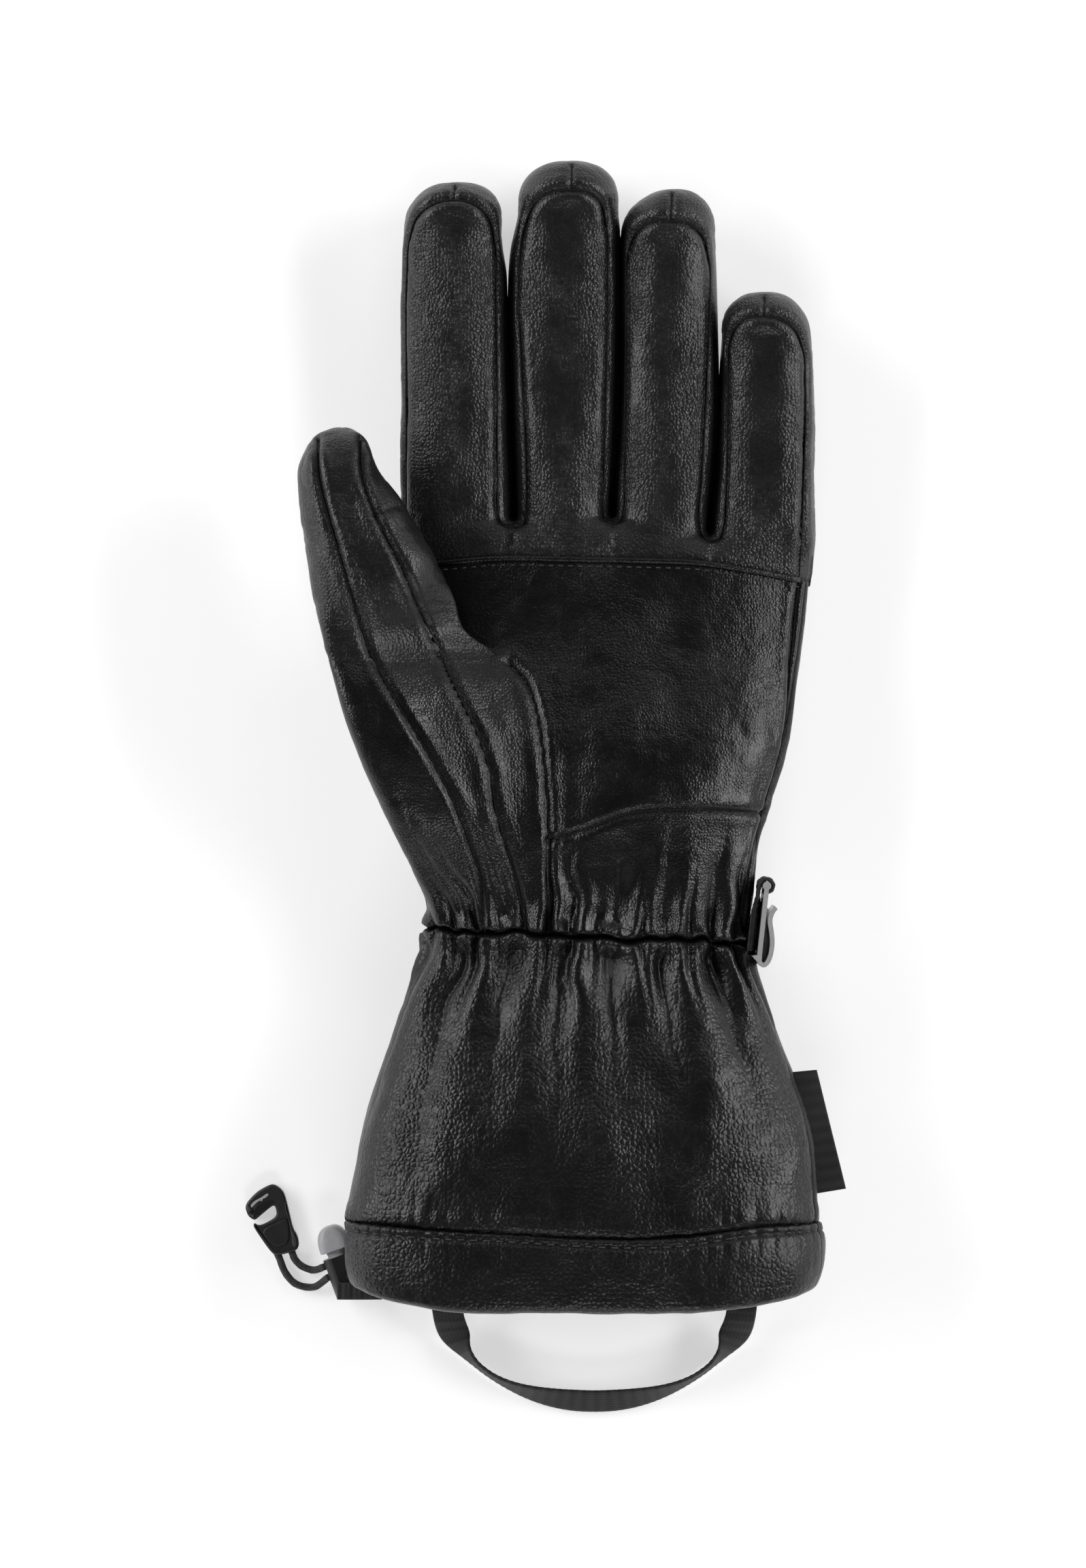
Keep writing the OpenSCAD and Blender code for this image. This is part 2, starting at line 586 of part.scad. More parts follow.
module lock_button() {
    neck = LOCK_TOP + button_travel + 0.2;
    color("#8c8d8f") at_lock() difference() {
        union() {
            along_barrel(PLUNGER_END) cylinder(r = PLUNGER_R, h = neck - PLUNGER_END, $fn = 32);
            intersection() {
                along_barrel(neck) rotate_extrude($fn = 40) polygon(concat([[0, 0], [DOME_R, 0]],
                    [for (t = [0:15:90]) [DOME_R * pow(cos(t), 0.8), 1 + (DOME_L - 1) * sin(t)]]));
                translate([0, neck + DOME_L / 2, 0])
                    cube([2 * lock_w, DOME_L + 1, LOCK_H - 0.4], center = true);
            }
        }
        cord_slot(CORD_B, CORD_A + button_travel);
    }
}
SPRING_TURNS = 3;
SPRING_STEPS = 24;
SPRING_WIRE = 0.3;
module lock_spring() {
    floor_y = LOCK_TOP - lock_l + LOCK_FLOOR + SPRING_WIRE;
    rise = PLUNGER_END - SPRING_WIRE - floor_y;
    color(METAL) at_lock() tube([for (i = [0:SPRING_STEPS]) let (t = i / SPRING_STEPS) [2 * cos(t * 360 * SPRING_TURNS),
        floor_y + rise * t, 2 * sin(t * 360 * SPRING_TURNS)]], SPRING_WIRE, 5, [0, 1, 0]);
}
module lock_tab() {
    corner = tube_pt(-cuff_l + 3.5, 212, -layer_gap);
    color(WEBBING) translate([corner.x - 12.6, -cuff_l + 0.8, LOCK_POS.z + LOCK_H / 2 + 0.2])
        cube([12, 4.6, webbing_t]);
}

// ---- Pairing clip -----------------------------------------------------------------------

CLIP_POS = [-cuff_w / 2 - WRIST_SHIFT - 22.4, -cuff_l + 13.6, 0.1];
CLIP_OUTLINE = [[0.3, 17.9], [2.1, 17], [3.5, 15.4], [4.7, 10.6], [5.8, 5.8], [7, 4], [7.5, 1.4],
    [6.7, -0.2], [1.3, -1.6], [-0.4, -0.3], [-4.9, 6.2], [-4.8, 7.4], [-3.2, 6.4], [1.5, 9],
    [1.1, 11.8], [0.3, 12.1], [-3.5, 8.9], [-4.6, 8], [-6.4, 9.2], [-7.3, 12.2], [-4.2, 15.6],
    [-1.5, 17.2]];
CLIP_POCKET = [[-5.8, 12.2], [-1, 15.4], [-0.6, 14.6], [-5.4, 11.4]];
module pairing_clip() {
    k = clip_l / 18;
    color(PLASTIC) translate(CLIP_POS) difference() {
        linear_extrude(clip_t) scale(k) offset(r = 0.35, $fn = 16) offset(delta = -0.35)
            polygon(CLIP_OUTLINE);
        translate([0, 0, clip_t - 1]) linear_extrude(2) scale(k) polygon(CLIP_POCKET);
        translate([-5.5 * k, 10 * k, clip_t - 0.5]) cylinder(r = 0.7 * k, h = 1, $fn = 24);
    }
}

// ---- Hang loop and label ----------------------------------------------------------------

LOOP_A = 232;
LOOP_B = 318;
LOOP_STEPS = 28;
function unit(v) = v / norm(v);
// Quarter-turned webbing: it lies flat at its sewn ends and stands on edge at both bends
function loop_twist(t) = t < 0.5 ? 78 * ease(t / 0.22) - 36 * ease((t - 0.24) / 0.24)
    : 78 * ease((1 - t) / 0.22) - 36 * ease((0.76 - t) / 0.24);
function loop_end(a) =
    tube_pt(-cuff_l + 5, a, HEM_FACING_OUT + leather_t + 2 * layer_gap + webbing_t / 2);
function loop_xy(t) =
    let (e0 = loop_end(LOOP_A), e1 = loop_end(LOOP_B), turn = 180 * t)
    [(e0.x + e1.x) / 2 - (e1.x - e0.x) / 2 * cos(turn),
     -cuff_l + 5 - (loop_reach + 5) * pow(max(0, sin(turn)), 0.75)];
module hang_loop() {
    sections = [for (i = [0:LOOP_STEPS]) let (t = i / LOOP_STEPS, d = 0.01,
        p = loop_xy(t), along = unit(loop_xy(min(1, t + d)) - loop_xy(max(0, t - d))),
        side = [-along.y, along.x, 0], twist = loop_twist(t),
        near = ease((min(t, 1 - t) - 0.03) / 0.14),
        a = t < 0.5 ? LOOP_A : LOOP_B,
        rim = tube_pt(-cuff_l, a + 2, 5) - tube_pt(-cuff_l, a - 2, 5),
        flat = unit(rim) * (t < 0.5 ? 1 : 1) * sign((rim * side) + 0.0001),
        wide = unit((1 - near) * flat + near * (cos(twist) * side + [0, 0, sin(twist)])),
        thick = unit(cross(wide, [along.x, along.y, 0])),
        z = mix(loop_end(a).z, loop_w / 2 * abs(wide.z) + webbing_t, near))
        for (c = [[-1, -1], [1, -1], [1, 1], [-1, 1]])
            [p.x, p.y, z] + c.x * loop_w / 2 * wide + c.y * webbing_t / 2 * thick];
    skin = [for (i = [0:LOOP_STEPS - 1]) for (j = [0:3]) each tri(i * 4 + j, i * 4 + (j + 1) % 4,
        (i + 1) * 4 + (j + 1) % 4, (i + 1) * 4 + j)];
    color(WEBBING) polyhedron(sections,
        concat(skin, [[3, 2, 1, 0], [for (j = [0:3]) LOOP_STEPS * 4 + j]]), convexity = 8);
}

LABEL_Y = -37;
LABEL_T = 0.8;
module side_label() {
    ys = [for (i = [0:6]) LABEL_Y - label_l * i / 6];
    color(LINING) translate([layer_gap, 0, (cuff_h - LABEL_T) / 2 - 1]) linear_extrude(LABEL_T)
        polygon(concat([for (y = ys) [side_x(y, 1), y]],
            [for (i = [6:-1:0]) [side_x(ys[i], 1) + label_w, ys[i]]]));
}

palm_panel();
finger_base_panel();
palm_piping();
heel_panel();
back_panel();
thumb_base_outer();
thumb_base_strip();
thumb_base_inner();
hand_insulation();
hand_lining();
wrist_elastic();
wrist_strap();
buckle_tab();
hook_buckle();
cuff_palm_panel();
cuff_back_panel();
cuff_insulation();
cuff_lining();
hem_front();
hem_back();
hem_cord();
cord_leg_outer();
cord_leg_inner();
lock_barrel();
lock_button();
lock_spring();
lock_tab();
pairing_clip();
hang_loop();
side_label();
finger_palm_side(INDEX);  // index_palm_side
finger_back(INDEX);  // index_back
finger_walls(INDEX);  // index_walls
finger_lining(INDEX);  // index_lining
finger_palm_side(MIDDLE);  // middle_palm_side
finger_back(MIDDLE);  // middle_back
finger_walls(MIDDLE);  // middle_walls
finger_lining(MIDDLE);  // middle_lining
finger_palm_side(RING);  // ring_palm_side
finger_back(RING);  // ring_back
finger_walls(RING);  // ring_walls
finger_lining(RING);  // ring_lining
finger_palm_side(LITTLE);  // little_palm_side
finger_back(LITTLE);  // little_back
finger_walls(LITTLE);  // little_walls
finger_lining(LITTLE);  // little_lining
thumb_outer();
thumb_strip();
thumb_inner();
thumb_back();
thumb_lining();
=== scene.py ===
"""Left-hand leather gauntlet ski glove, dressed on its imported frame.

Lengths in this file are in millimetres until a mesh is made, where they become metres. The
glove lies on its back: +Y to the fingertips, +Z out of the palm, -X to the thumb, and y = 0
at the wrist elastic.
"""
import math
import bpy
import numpy as np
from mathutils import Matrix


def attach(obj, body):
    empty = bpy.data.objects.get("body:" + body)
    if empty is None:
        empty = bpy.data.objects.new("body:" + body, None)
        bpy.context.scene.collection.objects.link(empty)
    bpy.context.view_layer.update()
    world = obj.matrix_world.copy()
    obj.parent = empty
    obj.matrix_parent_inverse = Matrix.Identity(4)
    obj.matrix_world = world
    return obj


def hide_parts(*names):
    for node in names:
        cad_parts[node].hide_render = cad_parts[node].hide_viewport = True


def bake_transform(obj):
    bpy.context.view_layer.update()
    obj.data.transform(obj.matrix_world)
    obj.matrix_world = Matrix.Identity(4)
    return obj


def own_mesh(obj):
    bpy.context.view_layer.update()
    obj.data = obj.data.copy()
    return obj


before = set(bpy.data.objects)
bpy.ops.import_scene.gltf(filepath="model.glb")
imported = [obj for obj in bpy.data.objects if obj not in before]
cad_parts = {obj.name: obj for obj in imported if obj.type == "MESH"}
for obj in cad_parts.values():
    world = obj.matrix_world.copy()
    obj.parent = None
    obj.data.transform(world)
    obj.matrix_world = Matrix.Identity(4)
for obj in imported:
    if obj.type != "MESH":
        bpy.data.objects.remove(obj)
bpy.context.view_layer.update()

MM = 0.001

# ---- Small maths -------------------------------------------------------------------------------


def mix(a, b, t):
    """From a at t = 0 to b at t = 1, in a straight line."""
    return a + (b - a) * t


def ease(t):
    """From 0 to 1 as t does, level at both ends: 3 c^2 - 2 c^3 of the clipped t."""
    c = np.clip(t, 0, 1)
    return c * c * (3 - 2 * c)


def spow(v, p):
    """Power of a number's size, with its sign kept."""
    return np.sign(v) * np.abs(v) ** p


def curve(x, xs, ys):
    """Smooth line through (xs, ys): cubic Hermite pieces with averaged slopes, xs rising."""
    xs, ys = np.asarray(xs, float), np.asarray(ys, float)
    slope = np.gradient(ys, xs)
    i = np.clip(np.searchsorted(xs, x) - 1, 0, len(xs) - 2)
    h = xs[i + 1] - xs[i]
    t = np.clip((x - xs[i]) / h, 0, 1)
    t2, t3 = t * t, t * t * t
    return ((2 * t3 - 3 * t2 + 1) * ys[i] + (t3 - 2 * t2 + t) * h * slope[i]
            + (3 * t2 - 2 * t3) * ys[i + 1] + (t3 - t2) * h * slope[i + 1])


def bump(x, width):
    """1 at x = 0, falling to nothing over a few widths (a bell curve)."""
    return np.exp(-(x / width) ** 2)


def walked(path):
    """Length walked along a path up to each of its points."""
    return np.concatenate([[0], np.cumsum(np.linalg.norm(np.diff(path, axis=0), axis=1))])


def unit(v):
    """Vectors brought to length 1."""
    return v / np.maximum(np.linalg.norm(v, axis=-1, keepdims=True), 1e-9)


def around(count):
    """Angles of a closed ring of that many columns, in degrees, as one row."""
    return (np.arange(count) / count * 360)[None, :]


# Large odd numbers that scatter a lattice point, a seed and their mixture over 32 bits
LATTICE_SCATTER = (374761393, 668265263, 1440670441)
SEED_SCATTER = 974634777
MIX_SCATTER = 1274126177


def noise(p, seed):
    """Smooth value noise in -1..1: random values on a unit lattice, blended with ease curves."""
    q = np.floor(p).astype(np.int64)
    w = ease(p - q)
    out = 0
    for c in range(8):
        d = np.array([c & 1, c >> 1 & 1, c >> 2 & 1])
        n = q + d
        h = ((n * LATTICE_SCATTER).sum(-1) + seed * SEED_SCATTER) & 0xFFFFFFFF
        h = ((h ^ (h >> 13)) * MIX_SCATTER) & 0xFFFFFFFF
        value = ((h ^ (h >> 16)) & 0xFFFF) / 32767.5 - 1
        part = np.where(d == 1, w, 1 - w)
        out = out + value * part[..., 0] * part[..., 1] * part[..., 2]
    return out


def fbm(p, size, seed, octaves):
    """Noise of the given size in mm, with copies of itself added, each half the size and
    strength of the last."""
    size = np.asarray(size, float)
    return sum(noise(p / size * 2.03 ** k + 17.1 * k, seed + k) * 0.5 ** k for k in range(octaves))


def crease(p, size, seed, sharp):
    """Thin lines, 1 on the line and 0 between: where noise of that size changes sign."""
    return np.clip(1 - np.abs(fbm(p, size, seed, 2)), 0, 1) ** sharp


# ---- Meshes ------------------------------------------------------------------------------------


def normals(g, ring):
    """Outward unit normals of grid g[row, column]: rows run along +Y, columns round from +X to +Z."""
    du = np.gradient(g, axis=0)
    dv = (np.roll(g, -1, 1) - np.roll(g, 1, 1)) if ring else np.gradient(g, axis=1)
    return unit(np.cross(du, dv))


def quads(n, m, ring, start=0, flip=False):
    """Faces of an n by m grid of points, counted from start."""
    i, j = np.meshgrid(np.arange(n - 1), np.arange(m if ring else m - 1), indexing="ij")
    k = (j + 1) % m
    f = np.stack([i * m + j, (i + 1) * m + j, (i + 1) * m + k, i * m + k], -1).reshape(-1, 4)
    return (f[:, ::-1] if flip else f) + start


def tube_faces(n, m, start=0, flip=True):
    """Faces of n rings of m points, counted from start, with a flat face on either end."""
    faces = [tuple(f) for f in quads(n, m, True, start)]
    faces += [tuple(range(start, start + m)), tuple(range(start + (n - 1) * m, start + n * m))[::-1]]
    return [f[::-1] for f in faces] if flip else faces


def make(name, verts, faces, material, marks=None, smooth=True):
    """One mesh object from verts in mm and faces, with point marks such as wear and seam."""
    mesh = bpy.data.meshes.new(name)
    mesh.from_pydata((np.asarray(verts, float) * MM).tolist(), [],
                     [list(map(int, f)) for f in faces])
    mesh.update()
    if smooth:
        mesh.polygons.foreach_set("use_smooth", np.ones(len(mesh.polygons), bool))
    for key, value in (marks or {}).items():
        mesh.attributes.new(key, "FLOAT", "POINT").data.foreach_set(
            "value", np.asarray(value, np.float32).ravel())
    obj = bpy.data.objects.new(name, mesh)
    bpy.context.scene.collection.objects.link(obj)
    mesh.materials.append(material)
    return obj


def shell(name, outer, inner, material, ring=True, marks=None, pole=False):
    """Closed wall between two grids of the same size. A ring closes round its columns, and a
    pole closes its last row to a point."""
    n, m, _ = outer.shape
    k = n * m
    verts = [outer.reshape(-1, 3), inner.reshape(-1, 3)]
    f = [quads(n, m, ring), quads(n, m, ring, k, True)]
    j = np.arange(m if ring else m - 1)
    j2 = (j + 1) % m
    f.append(np.stack([j, j2, k + j2, k + j], -1))
    if not pole:
        e = (n - 1) * m
        f.append(np.stack([e + j, k + e + j, k + e + j2, e + j2], -1))
    if not ring:
        i = np.arange(n - 1) * m
        f.append(np.stack([i, k + i, k + i + m, i + m], -1))
        i = i + m - 1
        f.append(np.stack([i, i + m, k + i + m, k + i], -1))
    faces = [tuple(q) for part in f for q in part]
    if pole:
        e = (n - 1) * m
        verts += [outer[-1].mean(0)[None], inner[-1].mean(0)[None]]
        faces += [(e + a, 2 * k, e + b) for a, b in zip(j, j2)]
        faces += [(k + e + b, 2 * k + 1, k + e + a) for a, b in zip(j, j2)]
    all_marks = {}
    for key, v in (marks or {}).items():
        v = v.ravel()
        tail = [v[-m:].mean()] * 2 if pole else []
        all_marks[key] = np.concatenate([v, v * 0, tail])
    return make(name, np.concatenate(verts), faces, material, all_marks)


def frames(path, up):
    """Tangent, side and second normal at each point of a path, from a roughly upward vector."""
    t = unit(np.gradient(path, axis=0))
    s = unit(np.cross(t, up))
    return t, s, np.cross(s, t)


def rope(name, path, radius, material, sides, up=(0, 0, 1), strands=0, pitch=5.0):
    """Closed round tube along path. With strands, its radius ripples by a twentieth in crossing
    spirals of that pitch, as a braid does."""
    s, q = frames(path, np.broadcast_to(up, path.shape))[1:]
    length = walked(path)
    a = np.radians(around(sides))[0]
    r = np.full((len(path), sides), float(radius))
    if strands:
        w = length[:, None] / pitch * 2 * np.pi
        r += 0.045 * radius * (spow(np.sin(strands * a + w), 0.5) + np.sin(strands * a - w))
    g = path[:, None] + r[..., None] * (np.cos(a)[None, :, None] * s[:, None]
                                        + np.sin(a)[None, :, None] * q[:, None])
    return make(name, g.reshape(-1, 3), tube_faces(*r.shape), material)


def ribbon(name, centre, wide, thick, width, rib):
    """Closed strap of webbing: a flat section with rounded edges swept along centre, turned by
    the wide and thick directions, with a sine of ribs across it."""
    length = walked(centre)
    u = np.linspace(-1, 1, 25)
    edge = (1 - np.abs(u) ** 8) ** 0.5 * 0.5 * TAPE_T
    ripple = 0.07 * TAPE_T * np.sin(length / rib * 2 * np.pi)[:, None] * (1 - np.abs(u) ** 6)
    x = np.concatenate([u, u[-2:0:-1]]) * width / 2
    up = np.concatenate([edge + ripple, -(edge + ripple)[:, -2:0:-1]], 1)
    g = centre[:, None] + x[None, :, None] * wide[:, None] + up[..., None] * thick[:, None]
    n, m = g.shape[:2]
    onward = (np.cross(wide, thick) * np.gradient(centre, axis=0)).sum() > 0
    return make(name, g.reshape(-1, 3), tube_faces(n, m, flip=onward), TAPE,
                {"across": np.tile(np.concatenate([u, u[-2:0:-1]]), n), "along": np.repeat(length, m)})


# ---- Sizes that repeat the frame's -------------------------------------------------------------

# Power of the rounded box that is the section of hand and cuff
ROUND = 2.5
# The thumb's crotch, the cuff's length, the leather and the webbing
CROTCH_Y = 72
CUFF_L = 100
THICK = 1.2
TAPE_T = 1.1
# Depth of the lining and of the filling below the leather's outside
LINING_IN, FILLING_IN = 3.3, 1.9
# Angles of the two side seams round the hand, in degrees
SIDE_A, SIDE_B = 12, 185
# Height of the underside at the wrist, and of the top at wrist, gauntlet, heel and knuckles
WRIST_FLOOR = 5
WRIST_ROOF, CUFF_ROOF, HEEL_ROOF, KNUCKLE_ROOF = 34, 46, 38, 27
# How far the thumb's root is pushed out of the hand at most
ROOT_PUSH = np.array([-29, 0, 24])
HAND_LEFT = [(0, -48), (13.6, -49.2), (32.5, -50.2), (47, -52.1), (63, -53.2), (84, -54.6), (108, -55.6)]
HAND_RIGHT = [(0, 36.5), (8, 38.2), (18, 39.5), (26, 40.4), (33, 41.8), (40, 43.9), (47, 46), (55, 48),
              (62, 49.3), (69, 50.5), (76, 51.6), (84, 52.6), (98, 54.2), (108, 55)]
CUFF_LEFT = [(-100, -66.5), (-91, -68.9), (-84, -69.6), (-76, -69.6), (-69, -68.5), (-62, -67.1),
             (-54.5, -65.8), (-47, -64), (-40, -61.8), (-33, -59.8), (-25.5, -57.4), (-18, -54.4),
             (-11, -51), (-5, -48.8), (0, -48)]
CUFF_RIGHT = [(-100, 53), (-91, 55.4), (-84, 56.6), (-76, 56), (-69, 55.3), (-62, 54.6), (-54.5, 53.6),
              (-47, 52), (-40, 49.9), (-33, 47.5), (-25.5, 44.6), (-18, 41.4), (-11, 38.6), (-5, 36.9),
              (0, 36.5)]
# Left edge of the thumb's root, and the x where its panel meets the palm
ROOT_LEFT = [(8, -49), (15, -51.8), (25.6, -56.6), (36.5, -61.4), (48.4, -66.4), (61, -71), (72, -74.2)]
ROOT_SEAM = [(8, -16), (25, -16), (36.5, -16.5), (48.4, -17.6), (58, -19.1), (67, -22), (72, -25.5)]


def follow(points, x):
    """Smooth line through (x, y) points, read at x."""
    return curve(x, *zip(*points))


def side_edges(y):
    """Left and right edge of the hand or cuff at station y."""
    return (np.where(y < 0, follow(CUFF_LEFT, y), follow(HAND_LEFT, y)),
            np.where(y < 0, follow(CUFF_RIGHT, y), follow(HAND_RIGHT, y)))


def floor_z(y):
    """Underside: on the floor at both ends and lifted at the wrist."""
    return WRIST_FLOOR * (1 - ease(np.where(y < 0, -y / 30, y / 45)))


def roof_z(y):
    """Top: lowest at the wrist, rising to the gauntlet and to the heel, falling to the knuckles."""
    cuff = mix(WRIST_ROOF, CUFF_ROOF, ease(-y / 60))
    heel = mix(WRIST_ROOF, HEEL_ROOF, ease(y / 35))
    palm = mix(HEEL_ROOF, KNUCKLE_ROOF, ease((y - 35) / 70))
    return np.where(y < 0, cuff, np.where(y < 35, heel, palm))


def tube(y, a, o=0.0):
    """The hand and cuff: at each station y a rounded box from the left to the right edge and
    from floor to roof, where a is the angle round it in degrees and o the depth below it."""
    left, right = side_edges(y)
    low, high = floor_z(y), roof_z(y)
    c, s = np.cos(np.radians(a)), np.sin(np.radians(a))
    x = (left + right) / 2 + ((right - left) / 2 - o) * spow(c, 2 / ROUND)
    z = (low + high) / 2 + ((high - low) / 2 - o) * spow(s, 2 / ROUND)
    return np.stack(np.broadcast_arrays(x, y, z), -1).astype(float)


def root_bell(y, a):
    """Share of the push over the angles, from the root's seam to the thumb side."""
    left, right = side_edges(y)
    share = np.clip(((left + right) / 2 - follow(ROOT_SEAM, y)) / ((right - left) / 2), 0.02, 0.99)
    a0 = 90 + np.degrees(np.arcsin(share ** (ROUND / 2)))
    return np.sin(np.clip((a - a0) / (SIDE_B - a0), 0, 1) * np.pi) ** 1.15


def push_table():
    """How far each station's root is pushed, so that its left edge falls where it should."""
    y = np.linspace(8, CROTCH_Y, 65)[:, None]
    a = np.linspace(90, SIDE_B, 300)[None, :]
    base, g = tube(y, a)[..., 0], root_bell(y, a)
    lo, hi = np.zeros_like(y), np.full_like(y, 1.4)
    for _ in range(24):
        k = (lo + hi) / 2
        far = (base + ROOT_PUSH[0] * k * g).min(axis=1, keepdims=True) < follow(ROOT_LEFT, y)
        lo, hi = np.where(far, lo, k), np.where(far, k, hi)
    k = np.convolve(np.pad(k[:, 0], 4, "edge"), np.ones(9) / 9, "valid")
    return np.concatenate([[2.0], y[:, 0]]), np.concatenate([[0.0], k])


PUSH_Y, PUSH = push_table()


def root_swell(y, a):
    """The thumb's root: share of ROOT_PUSH at station y and angle a."""
    return np.interp(y, PUSH_Y, PUSH) * root_bell(y, a)


# Stretches in metres from the hand to a finger and to the thumb, passed along with those pieces' seam lines
# and stitches, whose place is only baked; nothing bends over them
KNUCKLE = (0, 0.101, 0.012), (0, 0.124, 0.012)
THUMB_ROOT = (-0.053, 0.074, 0.045), (-0.053, 0.094, 0.045)

# ---- Seams, in millimetres on the palm side ----------------------------------------------------

STRIP_SEAM = [(-77.3, 130.7), (-76.7, 120.4), (-74.2, 110.4), (-71.3, 100.5), (-66.9, 85.8), (-63.8, 76),
              (-60.4, 69.1), (-54.5, 58.2), (-46.7, 45.5), (-40.7, 33.6), (-36.7, 22.7), (-34.7, 16.7),
              (-33.6, 8), (-33, 0)]
INNER_SEAM = [(-65.6, 130.2), (-64.9, 120.4), (-61.5, 110.4), (-55.5, 98.5), (-50.5, 86.7), (-45.6, 76),
              (-39.8, 63.1), (-34.7, 52.4), (-31.8, 43.5), (-29.8, 31.6), (-26.9, 21.8), (-24.5, 13.8),
              (-23, 6), (-22, 0)]
CROSS_SEAM = [(-61.5, 110), (-58.4, 111.4), (-55.5, 112.4)]
BASE_SEAM = [(-26.5, 72), (-22, 67.1), (-19.1, 58.2), (-17.6, 48.4), (-16.5, 36.5), (-16, 24.7),
             (-16, 13.8), (-16, 0)]
ARCH_SEAM = [(-16, 24.5), (-6.2, 27.6), (4.5, 31.6), (16.4, 32.7), (28.2, 32.5), (41.1, 31.8)]
EDGE_SEAM = [(52.5, 100.5), (50.9, 93.6), (48.9, 76), (47.5, 61.1), (45.5, 48), (42.5, 38), (40.5, 31),
             (37, 18), (35, 6), (34.5, 0)]
PIPED_SEAM = [(-52, 98), (-45.1, 98.2), (-30.9, 99.3), (-11.1, 99.1), (8.5, 98.7), (23.3, 98.2), (38.2, 96),
              (51.5, 93.6)]
HEM_SEAM = [(-69.3, -76.4), (-50.2, -77.6), (-27.1, -78.4), (-8.5, -79.5), (7.8, -80), (19.3, -79.5),
            (36.7, -77.1), (55.8, -76.5)]


def fine(line, step):
    """The seam's points joined by a smooth line, one point every step."""
    p = np.asarray(line, float)
    t = walked(p)
    s = np.linspace(0, t[-1], max(3, int(t[-1] / step)))
    return np.stack([curve(s, t, p[:, 0]), curve(s, t, p[:, 1])], 1)


def stitched(d, deep, puff, wide):
    """Cut of a sewn seam at distance d: a narrow valley, and a soft roll of leather 2.3 mm off."""
    return -deep * bump(d, wide) + puff * bump(d - 2.3, 1.7)


# ---- Materials ---------------------------------------------------------------------------------


def group(name, inputs, outputs, build):
    """A node group with named sockets; build wires it."""
    tree = bpy.data.node_groups.new(name, "ShaderNodeTree")
    for label, kind, value in inputs:
        s = tree.interface.new_socket(label, in_out="INPUT", socket_type=kind)
        if value is not None:
            s.default_value = value
    for label, kind in outputs:
        tree.interface.new_socket(label, in_out="OUTPUT", socket_type=kind)
    build(tree, tree.nodes.new("NodeGroupInput"), tree.nodes.new("NodeGroupOutput"))
    return tree


def add(tree, kind, links=(), **values):
    """A node with property and socket values, and (socket name, source) links."""
    n = tree.nodes.new("ShaderNode" + kind)
    for key, value in values.items():
        if key in n.inputs:
            n.inputs[key].default_value = value
        else:
            setattr(n, key, value)
    for key, source in links:
        tree.links.new(source, n.inputs[key])
    return n


def math_node(tree, op, a, b, c=None, clamp=False):
    """A Math node of numbers or other nodes' outputs; gives its output."""
    n = tree.nodes.new("ShaderNodeMath")
    n.operation = op
    n.use_clamp = clamp
    for i, v in enumerate((a, b, c)):
        if v is None:
            continue
        if isinstance(v, (int, float)):
            n.inputs[i].default_value = v
        else:
            tree.links.new(v, n.inputs[i])
    return n.outputs[0]


def ramp(tree, source, stops):
    """Colours, or greys given as one number, at stops of a source value."""
    n = tree.nodes.new("ShaderNodeValToRGB")
    while len(n.color_ramp.elements) < len(stops):
        n.color_ramp.elements.new(0.5)
    for e, (pos, c) in zip(n.color_ramp.elements, stops):
        e.position = pos
        e.color = (*c, 1) if hasattr(c, "__len__") else (c, c, c, 1)
    tree.links.new(source, n.inputs[0])
    return n.outputs[0]


def grain_build(t, i, o):
    """Pebbled leather: rounded cells of one size, warped by noise, with finer cells on them,
    and pores. Height runs 0..1, Tone is a slow variation from one patch to the next."""
    warp = add(t, "TexNoise", [("Vector", i.outputs["Vector"])], Scale=240.0, Detail=2.0)
    shift = add(t, "VectorMath", [(0, warp.outputs["Color"])], operation="SCALE", Scale=0.0012)
    place = add(t, "VectorMath", [(0, i.outputs["Vector"]), (1, shift.outputs[0])], operation="ADD")
    cell = add(t, "TexVoronoi", [("Vector", place.outputs[0]), ("Scale", i.outputs["Scale"])],
               feature="SMOOTH_F1", Smoothness=0.55, Randomness=0.8)
    rim = add(t, "TexVoronoi", [("Vector", place.outputs[0]), ("Scale", i.outputs["Scale"])],
              feature="DISTANCE_TO_EDGE", Randomness=0.8)
    small_scale = math_node(t, "MULTIPLY", i.outputs["Scale"], 2.7)
    small = add(t, "TexVoronoi", [("Vector", place.outputs[0]), ("Scale", small_scale)],
                feature="SMOOTH_F1", Smoothness=0.4, Randomness=1.0)
    dome = math_node(t, "SUBTRACT", 1.0, cell.outputs["Distance"])
    groove = math_node(t, "SMOOTH_MIN", math_node(t, "MULTIPLY", rim.outputs["Distance"], 3.2), 1.0, 0.3)
    height = math_node(t, "ADD", math_node(t, "MULTIPLY", dome, 0.45),
                       math_node(t, "MULTIPLY", groove, 0.34))
    height = math_node(t, "ADD", height, math_node(t, "MULTIPLY", small.outputs["Distance"], -0.1))
    t.links.new(height, o.inputs["Height"])
    t.links.new(groove, o.inputs["Groove"])
    patch = add(t, "TexNoise", [("Vector", i.outputs["Vector"])], Scale=38.0, Detail=4.0, Roughness=0.6)
    t.links.new(patch.outputs["Fac"], o.inputs["Tone"])


GRAIN = group("leather_grain", [("Vector", "NodeSocketVector", None), ("Scale", "NodeSocketFloat", 900.0)],
              [("Height", "NodeSocketFloat"), ("Groove", "NodeSocketFloat"), ("Tone", "NodeSocketFloat")],
              grain_build)


